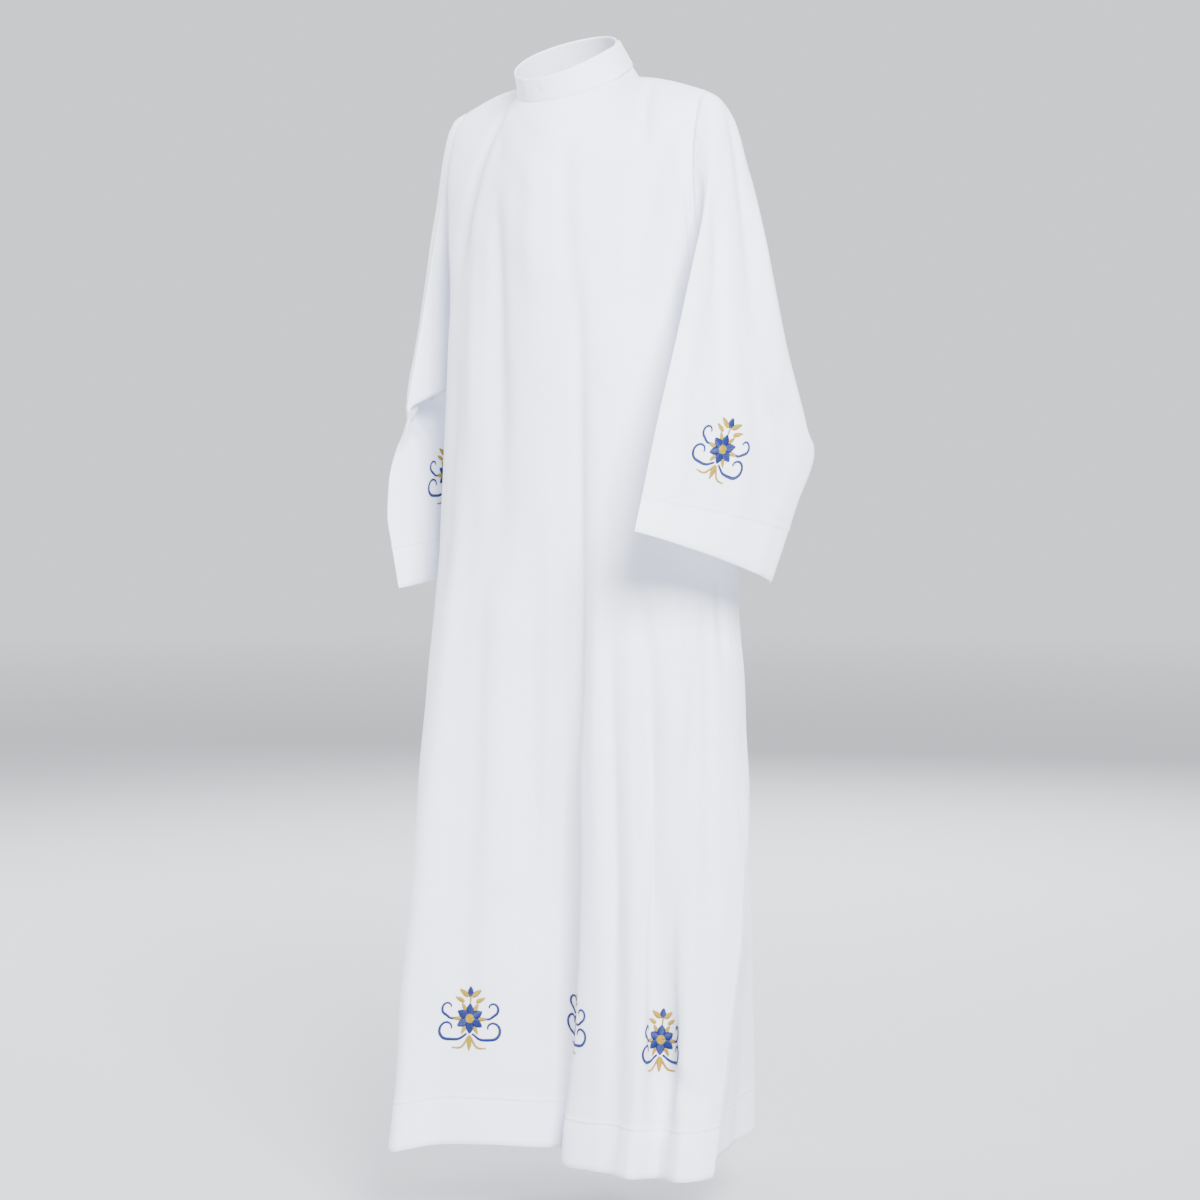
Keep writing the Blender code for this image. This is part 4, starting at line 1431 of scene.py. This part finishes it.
def aimed(name, data, place, aim):
    """A light or camera that looks at a point."""
    item = linked(name, data)
    item.location = place
    item.rotation_euler = (Vector(aim) - item.location).to_track_quat("-Z", "Y").to_euler()
    return item


def floor_material(colour, fade_start, fade_end):
    """Pale matte floor that fades out into the background far away."""
    finish = Finish("floor")
    place = finish.node("ShaderNodeTexCoord").outputs["Object"]
    distance = finish.value("ShaderNodeVectorMath", 1, {"operation": "LENGTH"}, {0: place})
    gone = ((distance - fade_start) * (1 / (fade_end - fade_start))).limited()
    grain = finish.value("ShaderNodeTexNoise", 0, None, {"Vector": place, "Scale": 40.0})
    base = finish.mixed(grain, opaque(colour, 0.99), opaque(colour, 1.01))
    matte = finish.node("ShaderNodeBsdfPrincipled", None, {"Base Color": base, "Roughness": 0.9})
    clear = finish.node("ShaderNodeBsdfTransparent")
    mix = finish.node("ShaderNodeMixShader", None, {0: gone, 1: matte.outputs[0],
                                                    2: clear.outputs[0]})
    output = finish.node("ShaderNodeOutputMaterial")
    finish.tree.links.new(mix.outputs[0], output.inputs[0])
    return finish.material


class ALB_OT_stage(bpy.types.Operator):
    """Make the pale floor, the soft lights and the camera."""

    bl_idname = "alb.stage"
    bl_label = "Stage"

    def execute(self, context):
        settings = context.scene.alb_stage
        mesh = bpy.data.meshes.new("floor")
        turns = [2 * math.pi * i / FLOOR_SIDES for i in range(FLOOR_SIDES)]
        mesh.from_pydata([(FLOOR_RADIUS * math.cos(t), FLOOR_RADIUS * math.sin(t), 0)
                          for t in turns], [], [tuple(range(FLOOR_SIDES))])
        mesh.materials.append(floor_material(settings.floor_colour, *FLOOR_FADE))
        floor = linked("floor", mesh)
        floor.location = (0, 0, CAD_BOX[0][2] - settings.drop)
        for name, (place, size, power, colour) in LIGHTS.items():
            light = bpy.data.lights.new(name, "AREA")
            light.size, light.energy, light.color = size, power, colour
            aimed(name, light, place, LIGHT_AIM)
        world = bpy.data.worlds.new("studio")
        world.use_nodes = True
        background = world.node_tree.nodes["Background"]
        background.inputs[0].default_value = WORLD_COLOUR
        background.inputs[1].default_value = WORLD_STRENGTH
        context.scene.world = world
        camera = aimed("camera", bpy.data.cameras.new("camera"), CAMERA_PLACE, CAMERA_AIM)
        camera.data.lens = settings.lens
        camera.data.sensor_width = SENSOR_WIDTH
        context.scene.camera = camera
        return {"FINISHED"}


class ALB_PT_panel(bpy.types.Panel):
    """Buttons that make the robe."""

    bl_idname = "ALB_PT_panel"
    bl_label = "Alb robe"
    bl_space_type = "VIEW_3D"
    bl_region_type = "UI"
    bl_category = "Alb robe"

    def draw(self, context):
        for operator in OPERATORS:
            self.layout.operator(operator.bl_idname)
        for group, _ in GROUPS:
            settings = getattr(context.scene, group)
            for name in settings.__annotations__:
                self.layout.prop(settings, name)


OPERATORS = (ALB_OT_front, ALB_OT_back, ALB_OT_sleeves, ALB_OT_collar, ALB_OT_stitching,
             ALB_OT_embroidery, ALB_OT_sheets, ALB_OT_stage)
GROUPS = (("alb_cloth", AlbCloth), ("alb_stitches", AlbStitches),
          ("alb_embroidery", AlbEmbroidery), ("alb_stage", AlbStage))


def register():
    """Register the classes and put their settings on the scene."""
    for name, group in GROUPS:
        bpy.utils.register_class(group)
        setattr(bpy.types.Scene, name, bpy.props.PointerProperty(type=group))
    for operator in OPERATORS:
        bpy.utils.register_class(operator)
    bpy.utils.register_class(ALB_PT_panel)


def unregister():
    """Undo register."""
    bpy.utils.unregister_class(ALB_PT_panel)
    for operator in reversed(OPERATORS):
        bpy.utils.unregister_class(operator)
    for name, group in reversed(GROUPS):
        delattr(bpy.types.Scene, name)
        bpy.utils.unregister_class(group)


def main():
    """Make the whole robe and its stage."""
    register()
    for operator in OPERATORS:
        getattr(bpy.ops.alb, operator.bl_idname.split(".")[1])()


if __name__ == "__main__":
    main()
